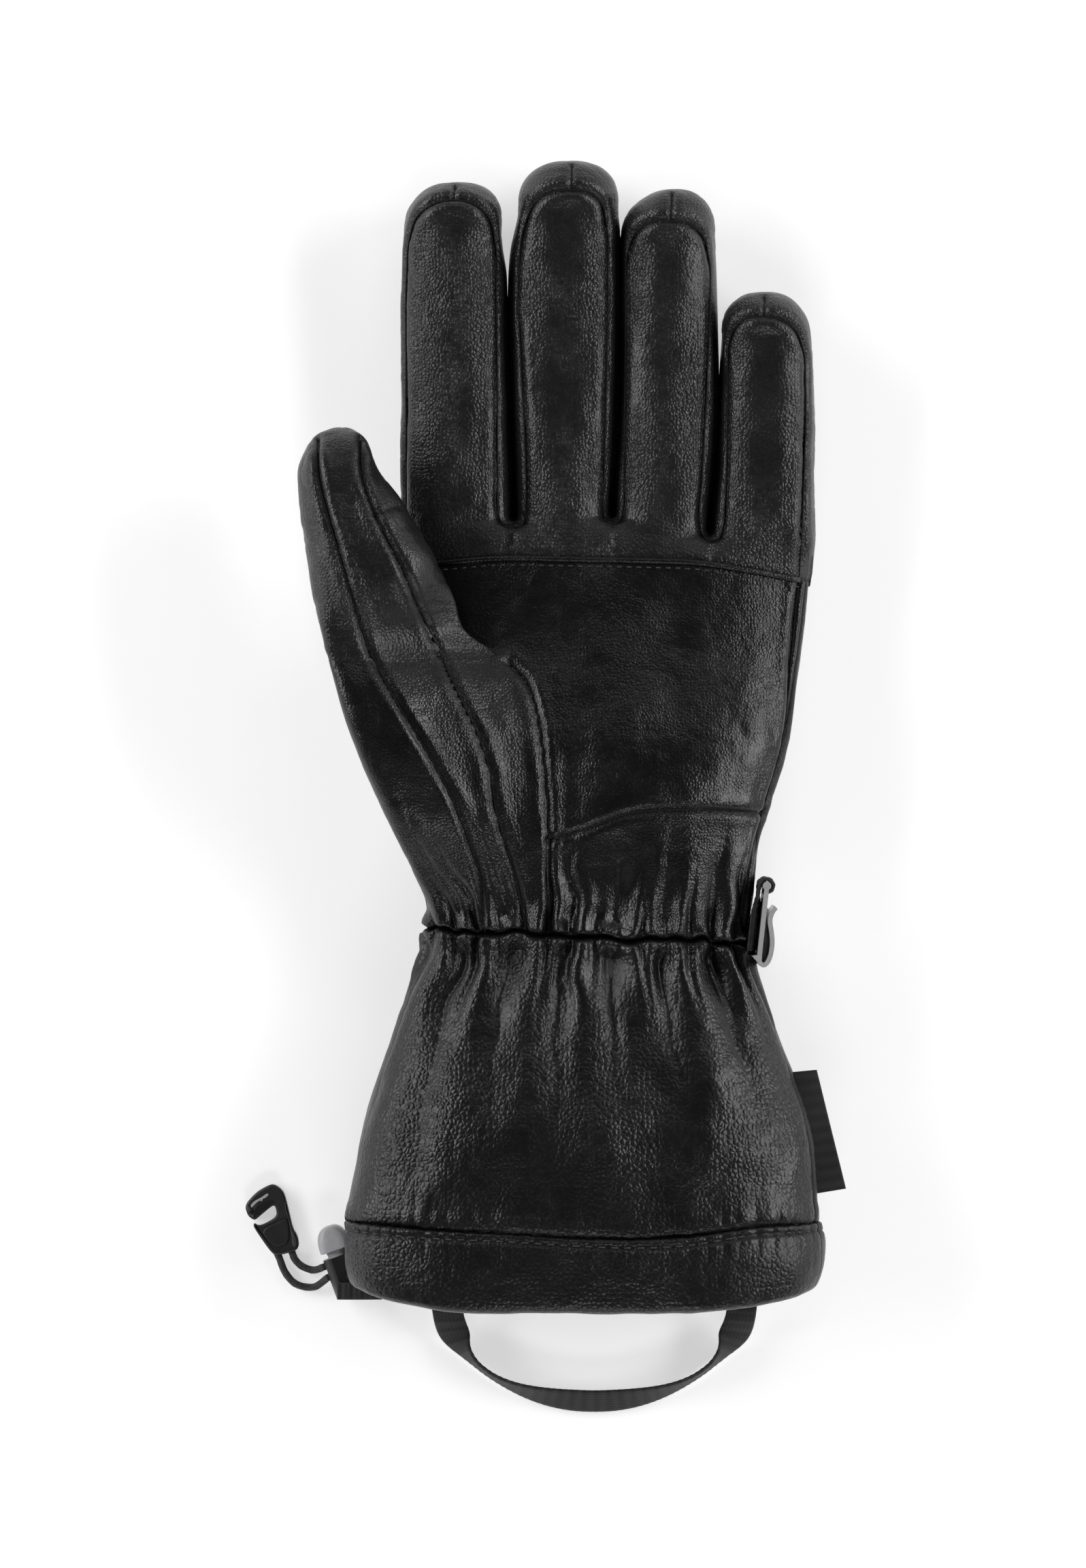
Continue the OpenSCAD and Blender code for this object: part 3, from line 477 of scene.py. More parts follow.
def weave_build(t, i, o):
    """Ribbed webbing: yarns across and along, as two crossing waves, with fuzz on them."""
    ribs = add(t, "TexWave", [("Vector", i.outputs["Vector"]), ("Scale", i.outputs["Ribs"])],
               bands_direction="X", wave_profile="SIN", Distortion=0.6, Detail=2.0)
    ribs.inputs["Detail Scale"].default_value = 3.0
    yarn = add(t, "TexWave", [("Vector", i.outputs["Vector"]), ("Scale", i.outputs["Yarns"])],
               bands_direction="Y", wave_profile="SIN", Distortion=0.4, Detail=1.0)
    fuzz = add(t, "TexNoise", [("Vector", i.outputs["Vector"])], Scale=2600.0, Detail=3.0)
    h = math_node(t, "ADD", math_node(t, "MULTIPLY", ribs.outputs["Fac"], 0.55),
                  math_node(t, "MULTIPLY", yarn.outputs["Fac"], 0.3))
    h = math_node(t, "ADD", h, math_node(t, "MULTIPLY", fuzz.outputs["Fac"], 0.25))
    t.links.new(h, o.inputs["Height"])


WEAVE = group("webbing_weave", [("Vector", "NodeSocketVector", None), ("Ribs", "NodeSocketFloat", 100.0),
                                ("Yarns", "NodeSocketFloat", 300.0)],
              [("Height", "NodeSocketFloat")], weave_build)


def start(name):
    """A new material, its node tree, its shader and its Object coordinates."""
    m = bpy.data.materials.new(name)
    m.use_nodes = True
    t = m.node_tree
    bsdf = t.nodes["Principled BSDF"]
    place = t.nodes.new("ShaderNodeTexCoord").outputs["Object"]
    return m, t, bsdf, place


def leather(name, dark, light, scale, depth, rough):
    """Grained leather: dark in its valleys and seams, lighter and smoother on worn crests. The
    seam mark also brings painted shade, darkening the cuff's fold hollows next to the elastic.
    The grain's depth goes up and down with the slow Tone, and seams lose their gloss."""
    m, t, b, place = start(name)
    g = t.nodes.new("ShaderNodeGroup")
    g.node_tree = GRAIN
    g.inputs["Scale"].default_value = scale
    t.links.new(place, g.inputs["Vector"])
    wear = add(t, "Attribute", attribute_name="wear").outputs["Fac"]
    seam = add(t, "Attribute", attribute_name="seam").outputs["Fac"]
    tone = math_node(t, "MULTIPLY_ADD", g.outputs["Tone"], 0.55, -0.12)
    level = math_node(t, "ADD", tone, math_node(t, "MULTIPLY", wear, 0.55))
    level = math_node(t, "MULTIPLY", level, math_node(t, "MULTIPLY_ADD", g.outputs["Groove"], 0.55, 0.45))
    # Painted shade: the seam mark darkens the seams' joins and, on the cuff, the fold hollows next to the
    # elastic.
    level = math_node(t, "SUBTRACT", level, math_node(t, "MULTIPLY", seam, 0.35), clamp=True)
    col = ramp(t, level, [(0.0, dark), (0.45, [mix(p, q, 0.4) for p, q in zip(dark, light)]), (1.0, light)])
    t.links.new(col, b.inputs["Base Color"])
    smudge = add(t, "TexNoise", [("Vector", place)], Scale=75.0, Detail=5.0, Roughness=0.65)
    r = math_node(t, "MULTIPLY_ADD", smudge.outputs["Fac"], (rough[1] - rough[0]) * 1.6,
                  rough[0] - (rough[1] - rough[0]) * 0.3)
    r = math_node(t, "ADD", r, math_node(t, "MULTIPLY", seam, 0.12))
    r = math_node(t, "SUBTRACT", r, math_node(t, "MULTIPLY", wear, 0.05), clamp=True)
    t.links.new(r, b.inputs["Roughness"])
    folds = add(t, "TexNoise", [("Vector", place)], Scale=170.0, Detail=3.0, Roughness=0.55)
    bend = add(t, "Bump", [("Height", folds.outputs["Fac"])], Strength=0.35, Distance=0.0009)
    worked = math_node(t, "MULTIPLY_ADD", g.outputs["Tone"], 3.2, -1.1, clamp=True)
    worked = math_node(t, "MULTIPLY_ADD", worked, depth * 0.85, depth * 0.35)
    fine_bump = add(t, "Bump", [("Height", g.outputs["Height"]), ("Normal", bend.outputs[0]),
                                ("Strength", worked)], Distance=0.0006)
    t.links.new(fine_bump.outputs[0], b.inputs["Normal"])
    t.links.new(math_node(t, "MULTIPLY_ADD", seam, -0.34, 0.5, clamp=True), b.inputs["Specular IOR Level"])
    return m


def cloth(name, dark, light, size=1400.0, depth=0.5, rough=0.85, sheen=0.25):
    """Brushed knit, cord or thread: fine fibres with lighter and darker tufts."""
    m, t, b, place = start(name)
    fuzz = add(t, "TexNoise", [("Vector", place)], Scale=size, Detail=6.0, Roughness=0.7)
    tuft = add(t, "TexVoronoi", [("Vector", place)], Scale=size * 0.45, Randomness=1.0)
    h = math_node(t, "ADD", fuzz.outputs["Fac"], math_node(t, "MULTIPLY", tuft.outputs["Distance"], 0.5))
    t.links.new(ramp(t, h, [(0.35, dark), (0.95, light)]), b.inputs["Base Color"])
    t.links.new(add(t, "Bump", [("Height", h)], Strength=depth, Distance=0.0005).outputs[0],
                b.inputs["Normal"])
    b.inputs["Roughness"].default_value = rough
    b.inputs["Sheen Weight"].default_value = sheen
    b.inputs["Sheen Roughness"].default_value = 0.5
    return m


def webbing(name, dark, light):
    """Woven strap: yarns over the modelled ribs, read from the strap's own length and width."""
    m, t, b, place = start(name)
    u = add(t, "Attribute", attribute_name="along").outputs["Fac"]
    v = add(t, "Attribute", attribute_name="across").outputs["Fac"]
    vec = add(t, "CombineXYZ", [("X", u), ("Y", v)]).outputs[0]
    g = t.nodes.new("ShaderNodeGroup")
    g.node_tree = WEAVE
    g.inputs["Ribs"].default_value = 0.094
    g.inputs["Yarns"].default_value = 1.4
    t.links.new(vec, g.inputs["Vector"])
    fuzz = add(t, "TexNoise", [("Vector", place)], Scale=1900.0, Detail=5.0, Roughness=0.7)
    h = math_node(t, "MULTIPLY_ADD", g.outputs["Height"], 0.6,
                  math_node(t, "MULTIPLY", fuzz.outputs["Fac"], 0.5))
    t.links.new(ramp(t, h, [(0.25, dark), (0.9, light)]), b.inputs["Base Color"])
    t.links.new(add(t, "Bump", [("Height", h)], Strength=0.6, Distance=0.0004).outputs[0],
                b.inputs["Normal"])
    b.inputs["Roughness"].default_value = 0.72
    b.inputs["Sheen Weight"].default_value = 0.15
    b.inputs["Sheen Roughness"].default_value = 0.4
    return m


def hard(name, dark, light, metallic, rough, size=420.0, streak=None, depth=0.08):
    """Moulded plastic or metal: faint mottling or brushing, uneven gloss and a fine texture."""
    m, t, b, place = start(name)
    if streak:
        place = add(t, "Mapping", [("Vector", place)], Scale=streak).outputs[0]
    speck = add(t, "TexNoise", [("Vector", place)], Scale=size, Detail=5.0, Roughness=0.65)
    slow = add(t, "TexNoise", [("Vector", place)], Scale=size * 0.2, Detail=3.0)
    lvl = math_node(t, "MULTIPLY_ADD", slow.outputs["Fac"], 0.6,
                    math_node(t, "MULTIPLY", speck.outputs["Fac"], 0.4))
    t.links.new(ramp(t, lvl, [(0.3, dark), (0.75, light)]), b.inputs["Base Color"])
    t.links.new(math_node(t, "MULTIPLY_ADD", speck.outputs["Fac"], rough[1] - rough[0], rough[0]),
                b.inputs["Roughness"])
    skin = add(t, "Bump", [("Height", speck.outputs["Fac"])], Strength=depth, Distance=0.0003)
    t.links.new(skin.outputs[0], b.inputs["Normal"])
    b.inputs["Metallic"].default_value = metallic
    return m


def grey(v):
    """A grey with a trace more blue."""
    return [v, v, v * 1.03]


PALM = leather("palm_leather", grey(0.0015), grey(0.008), 1180.0, 0.33, (0.27, 0.4))
# Painted light: finger_leather's light colour is raised above the palm's to stand in for light on the
# fingers' middles, a lit copy of the same black leather.
FINGER = leather("finger_leather", grey(0.003), grey(0.034), 1040.0, 0.5, (0.3, 0.44))
CUFF = leather("cuff_leather", grey(0.0015), grey(0.01), 790.0, 0.45, (0.3, 0.44))
BACK = leather("back_leather", grey(0.0025), grey(0.018), 1400.0, 0.4, (0.34, 0.48))
LINING = cloth("lining_knit", grey(0.008), grey(0.05))
TAPE = webbing("strap_webbing", grey(0.004), grey(0.035))
LABEL = webbing("label_tape", grey(0.008), grey(0.03))
# Near-black fibres that line each seam's valley, standing in for the shade in its crack (painted shade).
CRACK_SHADE = cloth("seam_crack_shade", grey(0.0008), grey(0.006), 2600.0, 0.3, 0.9, 0.0)
CORD = cloth("cord_braid", grey(0.005), grey(0.045), 2200.0, 0.4, 0.65, 0.15)
THREAD = cloth("sewing_thread", grey(0.005), grey(0.04), 3000.0, 0.3, 0.45, 0.1)
CLIP = hard("clip_plastic", grey(0.012), grey(0.035), 0.0, (0.34, 0.48))
# Lighter plastic: the small hinge's own colour, and on the clip's right edge strip a painted highlight of
# its lit bevel.
CLIP_HINGE_AND_EDGE_SHEEN = hard("clip_hinge_and_edge_sheen", grey(0.05), grey(0.11), 0.0, (0.3, 0.42))
BARREL = hard("lock_plastic", grey(0.008), grey(0.02), 0.0, (0.3, 0.42))
BUTTON = hard("button_plastic", grey(0.4), grey(0.6), 0.0, (0.32, 0.44))
ALUMINIUM = hard("satin_aluminium", (0.72, 0.72, 0.73), (0.9, 0.9, 0.91), 0.8, (0.34, 0.5), 900.0,
                 (1, 12, 1), 0.15)
WIRE = hard("spring_wire", (0.3, 0.3, 0.3), (0.6, 0.6, 0.6), 1.0, (0.25, 0.4), 900.0)

# ---- Camera, floor and lights ------------------------------------------------------------------

CAMERA_LENS = 135.8
CAMERA_AT = (-0.0176, 0.0395, 1.6)
# Half side and level of the floor's sheet
FLOOR_HALF, FLOOR_Z = 4000, -0.4
# Soft boxes: place and aim in metres, width and height, and power
LAMPS = {"left_softbox": ((-1.25, 0.45, 0.8), (-0.02, 0.09, 0.02), (1.4, 0.38), 12.5),
         "right_softbox": ((1.25, 0.25, 0.88), (-0.02, 0.09, 0.02), (1.3, 0.38), 12),
         "top_softbox": ((0.3, 1.2, 1.1), (-0.02, 0.05, 0.02), (0.7, 0.3), 1.4),
         "low_softbox": ((0.1, -1.3, 1.0), (-0.02, 0.0, 0.02), (0.7, 0.3), 4),
         "high_softbox": ((-0.1, -0.62, 1.55), (-0.02, 0.03, 0.02), (0.6, 0.35), 0.4)}

scene = bpy.context.scene
scene.view_settings.view_transform = "Standard"
camera = bpy.data.objects.new("camera", bpy.data.cameras.new("camera"))
camera.data.sensor_fit = "VERTICAL"
camera.data.sensor_height = 36
camera.data.lens = CAMERA_LENS
camera.data.clip_end = 20
camera.location = CAMERA_AT
scene.collection.objects.link(camera)
scene.camera = camera


def lamp(name, at, aim, size, power):
    """Rectangular soft light at a place in metres, turned towards aim."""
    data = bpy.data.lights.new(name, "AREA")
    data.shape = "RECTANGLE"
    data.size, data.size_y = size
    data.energy = power
    obj = bpy.data.objects.new(name, data)
    obj.location = at
    away = np.subtract(at, aim)
    away = away / np.linalg.norm(away)
    obj.rotation_euler = (math.acos(away[2]), 0, math.atan2(away[1], away[0]) + math.pi / 2)
    scene.collection.objects.link(obj)


def build_world():
    """A studio cove: white near the horizon, darkening to a dim ceiling."""
    world = bpy.data.worlds.new("room")
    world.use_nodes = True
    t = world.node_tree
    place = t.nodes.new("ShaderNodeTexCoord").outputs["Generated"]
    z = add(t, "SeparateXYZ", [("Vector", place)]).outputs["Z"]
    t.links.new(ramp(t, z, [(0.0, 0.9), (0.15, 0.7), (0.38, 0.1), (1.0, 0.03)]),
                t.nodes["Background"].inputs["Color"])
    t.nodes["Background"].inputs["Strength"].default_value = 1
    scene.world = world


def build_floor():
    """A broad white sheet just under the glove. A glow that only the camera and mirrored or clear
    paths see lifts it to white."""
    verts = [(x * FLOOR_HALF, y * FLOOR_HALF, FLOOR_Z) for x, y in ((-1, -1), (1, -1), (1, 1), (-1, 1))]
    m, t, b = start("floor_sheet")[:3]
    b.inputs["Base Color"].default_value = (0.86, 0.86, 0.86, 1)
    b.inputs["Roughness"].default_value = 0.9
    b.inputs["Specular IOR Level"].default_value = 0.1
    path = t.nodes.new("ShaderNodeLightPath")
    seen = math_node(t, "MAXIMUM", path.outputs["Is Camera Ray"], path.outputs["Is Glossy Ray"])
    seen = math_node(t, "MAXIMUM", seen, path.outputs["Is Transmission Ray"])
    t.links.new(math_node(t, "MULTIPLY", seen, 0.5), b.inputs["Emission Strength"])
    b.inputs["Emission Color"].default_value = (1, 1, 1, 1)
    floor = make("floor", verts, [(0, 1, 2, 3)], m, smooth=False)


for label, values in LAMPS.items():
    lamp(label, *values)
build_world()
build_floor()

# ---- Hand and cuff skins -----------------------------------------------------------------------


def cinch_y(a):
    """The wrist elastic crosses the glove slightly slanted and wavers as it goes round."""
    t = np.radians(a)
    waver = 0.45 * np.sin(7 * t + 1) + 0.3 * np.sin(17 * t) + 0.3 * np.sin(29 * t + 2)
    return -0.9 - 2.0 * np.cos(t) + waver


def ring_angles(front, back):
    """Angles of a full ring, with both side seams on columns: front columns, then back columns."""
    return np.concatenate([np.linspace(SIDE_A, SIDE_B, front),
                           np.linspace(SIDE_B, 360 + SIDE_A, back + 1)[1:-1]])[None, :]


def halves(g, front):
    """The front and back parts of a full ring, cut at the side seams."""
    return g[:, :front], np.concatenate([g[:, front - 1:], g[:, :1]], 1)


def hand_points(y, a, o=0.0):
    """The tube with the thumb's root pushed out of it below the crotch."""
    p = tube(y, a, o)
    k = root_swell(np.minimum(y, CROTCH_Y), a) * (1 - ease((y - CROTCH_Y - 0.7) / 2.5))
    return p + k[..., None] * ROOT_PUSH


def round_ring(a, y=-1.0):
    """Length of the path round the ring at station y, from the first angle to each angle."""
    aa = np.linspace(SIDE_A, SIDE_A + 360, 721)[None, :]
    s = walked(tube(np.full(aa.shape, y), aa)[0])
    return np.interp(a, aa[0], s), s[-1]


def gathers(a, away):
    """Puckers drawn in by the elastic: rounded folds with sharp valleys between them, |sin|^p of
    the way round in three widths, tallest a few millimetres from the elastic and dying out at
    uneven distances as exp(-(far / reach)^q)."""
    s, total = round_ring(a)
    s = s * np.ones_like(away)
    far = np.abs(away)
    w = s + 1.3 * noise(np.stack([s / 8, away / 9, away * 0], -1), 31) * ease(far / 10)
    upper = away > 0

    def fold(pitch, shift, power):
        """Folds of about that pitch, a whole number of them round the ring."""
        return np.abs(np.sin(np.pi * round(total / pitch) * w / total + shift)) ** power - 0.6

    uneven = 1 + 0.6 * noise(np.stack([s / 5, away * 0, away * 0 + 3], -1), 5)
    longer = 1 + 0.5 * noise(np.stack([s / 11, away * 0, away * 0 + 9], -1), 6)
    start = ease((far - 0.1) / 1.1)
    close = fold(6.2, 0.7, 0.7) * np.exp(-(far / (9.0 * uneven)) ** 1.5)
    wide = fold(12.6, 0.2, 0.8) * np.exp(-(far / (np.where(upper, 19, 24) * longer)) ** 1.4) * ease(far / 6)
    tiny = fold(3.9, 0.1, 1.0) * np.exp(-(far / 3.4) ** 2)
    broad = np.exp(-far / 34) * ease(far / 9) * fbm(np.stack([w, away, s * 0], -1), (10, 60, 30), 77, 2)
    folds = np.where(upper, 2.9, 3.0) * close * uneven + np.where(upper, 2.6, 4.4) * wide + 0.5 * tiny
    return start * folds + 1.5 * broad - 1.3 * bump(away, 0.5) + 1.2 * bump(far - 1.7, 2.4)


def drape(g, n, line, under=False):
    """A plan line laid on grid g with normals n: each point takes the mean height and normal of
    the nearest grid points that face up, or down."""
    face = n[..., 2] < -0.03 if under else n[..., 2] > 0.03
    q, m = g[face], n[face]
    out, nn = [], []
    for p in np.asarray(line, float):
        d = ((q[:, :2] - p) ** 2).sum(1)
        k = np.argpartition(d, 6)[:6]
        w = 1 / (d[k] + 0.1)
        w /= w.sum()
        nn.append((m[k] * w[:, None]).sum(0))
        out.append((p[0], p[1], (q[k, 2] * w).sum()))
    return np.array(out), unit(np.array(nn))


# Distance past which a seam no longer shapes the leather
REACH = 9.0


def gap3(g, path):
    """Distance in space from each point of g to a path, or REACH where it is farther off."""
    q = g.reshape(-1, 3)
    d = np.full(len(q), REACH)
    near = np.all((q > path.min(0) - REACH) & (q < path.max(0) + REACH), axis=1)
    idx = np.nonzero(near)[0]
    a, ab = path[:-1], path[1:] - path[:-1]
    for i in range(0, len(idx), 8000):
        r = q[idx[i:i + 8000], None]
        t = np.clip(((r - a) * ab).sum(-1) / (ab ** 2).sum(-1), 0, 1)
        d[idx[i:i + 8000]] = np.sqrt(((r - a - t[..., None] * ab) ** 2).sum(-1)).min(1)
    return np.minimum(d, REACH).reshape(g.shape[:-1])


def cut(g, n, lines, deep, puff, wide, under=False):
    """Relief and seam mark of several sewn seams, laid on grid g."""
    relief = np.zeros(g.shape[:-1])
    mark = np.zeros(g.shape[:-1])
    for line in lines:
        path = drape(g, n, fine(line, 1.2), under)[0]
        d = gap3(g, path)
        relief += stitched(d, deep, puff, wide)
        mark = np.maximum(mark, bump(d, wide * 0.75))
    return relief, mark


def sewn(piece, body, bend):
    """Joins thread or a seam's painted shade line to its body; given a bend, it only bakes the piece's
    place into its mesh.
    """
    if bend:
        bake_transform(piece)
    else:
        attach(piece, body)


def crack_shade_lines(name, g, n, lines, body=None, bend=None, under=False):
    """Painted shade in the crack of each sewn seam: a thin, near-black six-sided line along its valley."""
    verts, faces, count = [], [], 0
    for line in lines:
        path, up = drape(g, n, fine(line, 0.7), under)
        path = path - up * 0.06
        side, q = frames(path, up)[1:]
        a = np.radians(around(6))[..., None]
        pts = path[:, None] + 0.24 * (np.cos(a) * side[:, None] + np.sin(a) * q[:, None])
        k, m = pts.shape[:2]
        verts.append(pts.reshape(-1, 3))
        faces += tube_faces(k, m, count)
        count += k * m
    sewn(make(name, np.concatenate(verts), faces, CRACK_SHADE), body, bend)


def moved(line, dx, dy):
    """A plan line set off by (dx, dy)."""
    return [(x + dx, y + dy) for x, y in line]


def leather_relief(p, seed, soft=0.45, small=0.1, fold=0.08):
    """Unevenness of padded leather: soft swellings, small ones on them, and thin creases."""
    return (soft * fbm(p, 19, seed, 2) + small * fbm(p, 5.5, seed + 3, 2)
            - fold * crease(p, (13, 8, 13), seed + 7, 7))


def pucker(s, pitch, uneven, drift, row, seed):
    """Small folds drawn in by a seam: |sin|^0.8 of the way s along it, shifted to and fro by up
    to `uneven` over `drift` mm."""
    shift = uneven * noise(np.stack([s / drift, s * 0, s * 0 + row], -1), seed)
    return np.abs(np.sin(s / pitch * np.pi + shift)) ** 0.8 - 0.6


def side_groove(a, y=-1.0):
    """Distance in mm to the nearer side seam, round the ring."""
    s, total = round_ring(a, y)
    far = round_ring(np.array([SIDE_B]), y)[0][0]
    return np.minimum(np.minimum(s, total - s), np.abs(s - far))


def wall_pair(g, n, d, mark, front, parts):
    """Displaces ring grid g by d along its normals and makes its front and back walls."""
    wear = np.clip(0.45 + d * 0.35, 0, 1)
    outer, inner = g + n * d[..., None], g + n * (d[..., None] * 0.6 - THICK)
    made = []
    for k, (label, material) in enumerate(parts):
        o, i = halves(outer, front)[k], halves(inner, front)[k]
        w, m = halves(wear, front)[k], halves(mark, front)[k]
        made.append(shell(label, o, i, material, ring=False, marks={"wear": w, "seam": m}))
    return made, outer


def piped_y(x):
    """Station of the piped seam across the palm."""
    return follow(PIPED_SEAM, x)


def hand_relief(g, away):
    """Unevenness of the hand's leather, less of it next to the elastic."""
    return leather_relief(g, 11) + 0.5 * ease(away / 20) * fbm(g, (26, 26, 26), 61, 1)


def build_hand():
    """The hand from the elastic to just past the piped seam, where it dips under the fingers."""
    front, back = 200, 130
    a = ring_angles(front, back)
    u = np.linspace(0, 1, 165)[:, None]
    y = mix(cinch_y(a), 101.0, u)
    a = a * np.ones_like(y)
    g = hand_points(y, a)
    n = normals(g, True)
    away = y - cinch_y(a)
    lines = [[q for q in STRIP_SEAM if q[1] <= 76], [q for q in INNER_SEAM if q[1] <= 76],
             BASE_SEAM, EDGE_SEAM]
    d, mark = cut(g, n, lines, 0.95, 0.5, 0.65)
    arch, arch_mark = cut(g, n, [ARCH_SEAM], 0.95, 0.3, 0.65)
    d += arch
    top = np.where(n[..., 2] > 0, 1.0, 0.0)
    piped = y - np.where(n[..., 2] > 0, piped_y(g[..., 0]), 97.5)
    d -= 0.9 * ease((piped + 0.6) / 2.2)
    under = (1 - top) * bump(y - 12, 11)
    d += gathers(a, away) * (1 - 0.85 * under)
    back_lines, back_mark = cut(g, n, BACK_SEAMS, 0.7, 0.3, 0.9, True)
    d += back_lines
    groove = side_groove(a)
    d += stitched(groove, 0.5, 0.15, 0.8)
    d += hand_relief(g, away)
    flat = 1 - ease((6 - g[..., 2]) / 6) * (1 - top)
    d = np.where((top == 0) & (d > 0), d * flat, d)
    mark = np.maximum.reduce([mark, arch_mark, back_mark, bump(groove, 0.7), 0.8 * bump(away, 0.8)])
    made, outer = wall_pair(g, n, d, mark, front, [("palm_skin", PALM), ("back_skin", BACK)])
    for piece, slot in zip(made, ("leather", "back_leather")):
        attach(piece, "hand")
    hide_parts("palm_panel", "heel_panel", "finger_base_panel", "thumb_base_outer",
                "thumb_base_strip", "thumb_base_inner")
    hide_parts("back_panel")
    on = normals(outer, True)
    crack_shade_lines("hand_crack_shade", outer, on, lines + [ARCH_SEAM], "hand")
    crack_shade_lines("back_crack_shade", outer, on, BACK_SEAMS, "hand", under=True)
    return outer


# Guessed seams of the back: a curved knuckle seam and two long darts towards the fingers
BACK_SEAMS = [[(-52, 70), (-40, 76), (-20, 80), (0, 81), (20, 79), (38, 74), (49, 67)],
              [(-25, 97), (-22, 80), (-19, 62), (-15, 42), (-12, 26)],
              [(26.7, 96), (22, 79), (17, 62), (12, 42), (9, 26)]]


def hem_y(x, z_up):
    """Station of the seam that closes the hem."""
    return np.where(z_up, follow(HEM_SEAM, x), -77.5)


def build_cuff():
    """The cuff from the hem's seam to the elastic, with folds running down from the gathers."""
    front, back = 190, 120
    a = ring_angles(front, back)
    u = np.linspace(0, 1, 118)[:, None]
    y = mix(-81.5, cinch_y(a), u)
    a = a * np.ones_like(y)
    g = tube(y, a)
    n = normals(g, True)
    away = y - cinch_y(a)
    d = gathers(a, away)
    # Painted shade: the fold valleys near the elastic are darkened through the seam mark, most where the
    # folds sink lowest.
    painted_fold_shade = np.clip(0.4 - d / 3.5, 0, 1) * np.exp(away / 16)
    d += leather_relief(g, 23, 0.5, 0.12, 0.12)
    d += 0.8 * fbm(g, (13, 55, 26), 41, 2) * ease(-away / 14) * (1 - ease((-60 - y) / 14))
    groove = side_groove(a, -40)
    d += stitched(groove, 0.6, 0.2, 0.9)
    edge = y - hem_y(g[..., 0], n[..., 2] > 0)
    s = round_ring(a, -78)[0]
    strength = 0.6 + 0.7 * noise(np.stack([s / 21, s * 0, s * 0 + 8], -1), 9)
    d += 0.6 * strength * pucker(s, 5.3, 1.8, 8, 5, 7) * np.exp(-np.abs(edge - 1) / 4.5)
    d -= 0.8 * (1 - ease((edge + 0.4) / 1.1)) - 0.35 * bump(edge - 2.6, 2)
    flat = np.where((n[..., 2] < 0) & (d > 0), ease(g[..., 2] / 6), 1)
    d *= flat
    mark = np.maximum.reduce([bump(groove, 0.8), 0.8 * bump(away, 0.8), bump(edge, 0.5), painted_fold_shade])
    made = wall_pair(g, n, d, mark, front, [("cuff_palm_skin", CUFF), ("cuff_back_skin", BACK)])[0]
    for piece, slot in zip(made, ("leather", "back_leather")):
        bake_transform(piece)
    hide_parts("cuff_palm_panel")
    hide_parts("cuff_back_panel")


# Half the thickness of the hem's round edge, and how many rows run up its outside
HEM_LIP = 2.6
HEM_ROWS = 40


def rim_y(a):
    """Station of the gauntlet's open end, a little nearer at both sides."""
    return -CUFF_L + 5 * np.abs(np.cos(np.radians(a))) ** 4


def build_hem():
    """The folded hem: from the facing's top inside, down and round the fold, and up the outside
    to the seam, as one sheet. It is puffed between the seam and the fold, and puckered along
    the seam."""
    out = []
    for label, a0, a1, cols, material, slot, node in (
            ("hem_front_skin", SIDE_A, 193, 230, CUFF, "leather", "hem_front"),
            ("hem_back_skin", 209, 360 + SIDE_A, 150, BACK, "back_leather", "hem_back")):
        a = np.linspace(a0, a1, cols)[None, :]
        rim = rim_y(a)
        up = np.sin(np.radians(a)) > 0
        seam = hem_y(tube(a * 0 - 79, a)[..., 0], up)
        turn = np.linspace(0, np.pi, 13)[:, None]
        inside_y = mix(-78.0, rim + HEM_LIP, np.linspace(0, 1, 20)[:-1, None])
        inside_o = 5.3 + inside_y * 0
        fold_y = rim + HEM_LIP - HEM_LIP * np.sin(turn)
        fold_o = 2.4 + 2.9 * np.cos(turn) + 0 * rim
        t = np.linspace(0, 1, HEM_ROWS)[1:, None]
        wall_y = mix(rim + HEM_LIP, seam, t)
        wall_o = -0.5 - 0.7 * np.sin(np.pi * t) ** 0.7 + 0 * rim
        y = np.concatenate([inside_y, fold_y, wall_y])
        o = np.concatenate([inside_o, fold_o, wall_o])
        a = a * np.ones_like(y)
        g = tube(y, a, o)
        g[..., 2] = np.maximum(g[..., 2], 0.35)
        n = normals(g, False)
        s = round_ring(a, -88)[0]
        from_seam = np.concatenate([np.full(inside_y.shape, 30.0), fold_y - rim + 18, seam - wall_y])
        d = 0.45 * pucker(s, 4.4, 1.5, 9, 0, 3) * np.exp(-from_seam / 5)
        d += leather_relief(g, 51, 0.4, 0.12, 0.1)
        d += 0.4 * fbm(g, (20, 12, 20), 57, 2) - 0.55 * bump(from_seam - 2.4, 0.7)
        d -= 0.8 * bump(from_seam, 0.5)
        d = np.where((n[..., 2] < 0) & (d > 0) & (g[..., 2] < 4), 0, d)
        mark = np.maximum(bump(from_seam, 0.5), 0.6 * bump(from_seam - 2.4, 0.7))
        wear = np.clip(0.45 + 0.4 * d, 0, 1)
        outer = g + n * d[..., None]
        piece = shell(label, outer, g + n * (d[..., None] * 0.4 - THICK), material, ring=False,
                      marks={"wear": wear, "seam": mark})
        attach(piece, "cuff")
        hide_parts(node)
        out.append((outer[-HEM_ROWS:], n[-HEM_ROWS:]))
    return out


hand_grid = build_hand()
build_cuff()
hem_grids = build_hem()

# ---- Stitches ----------------------------------------------------------------------------------


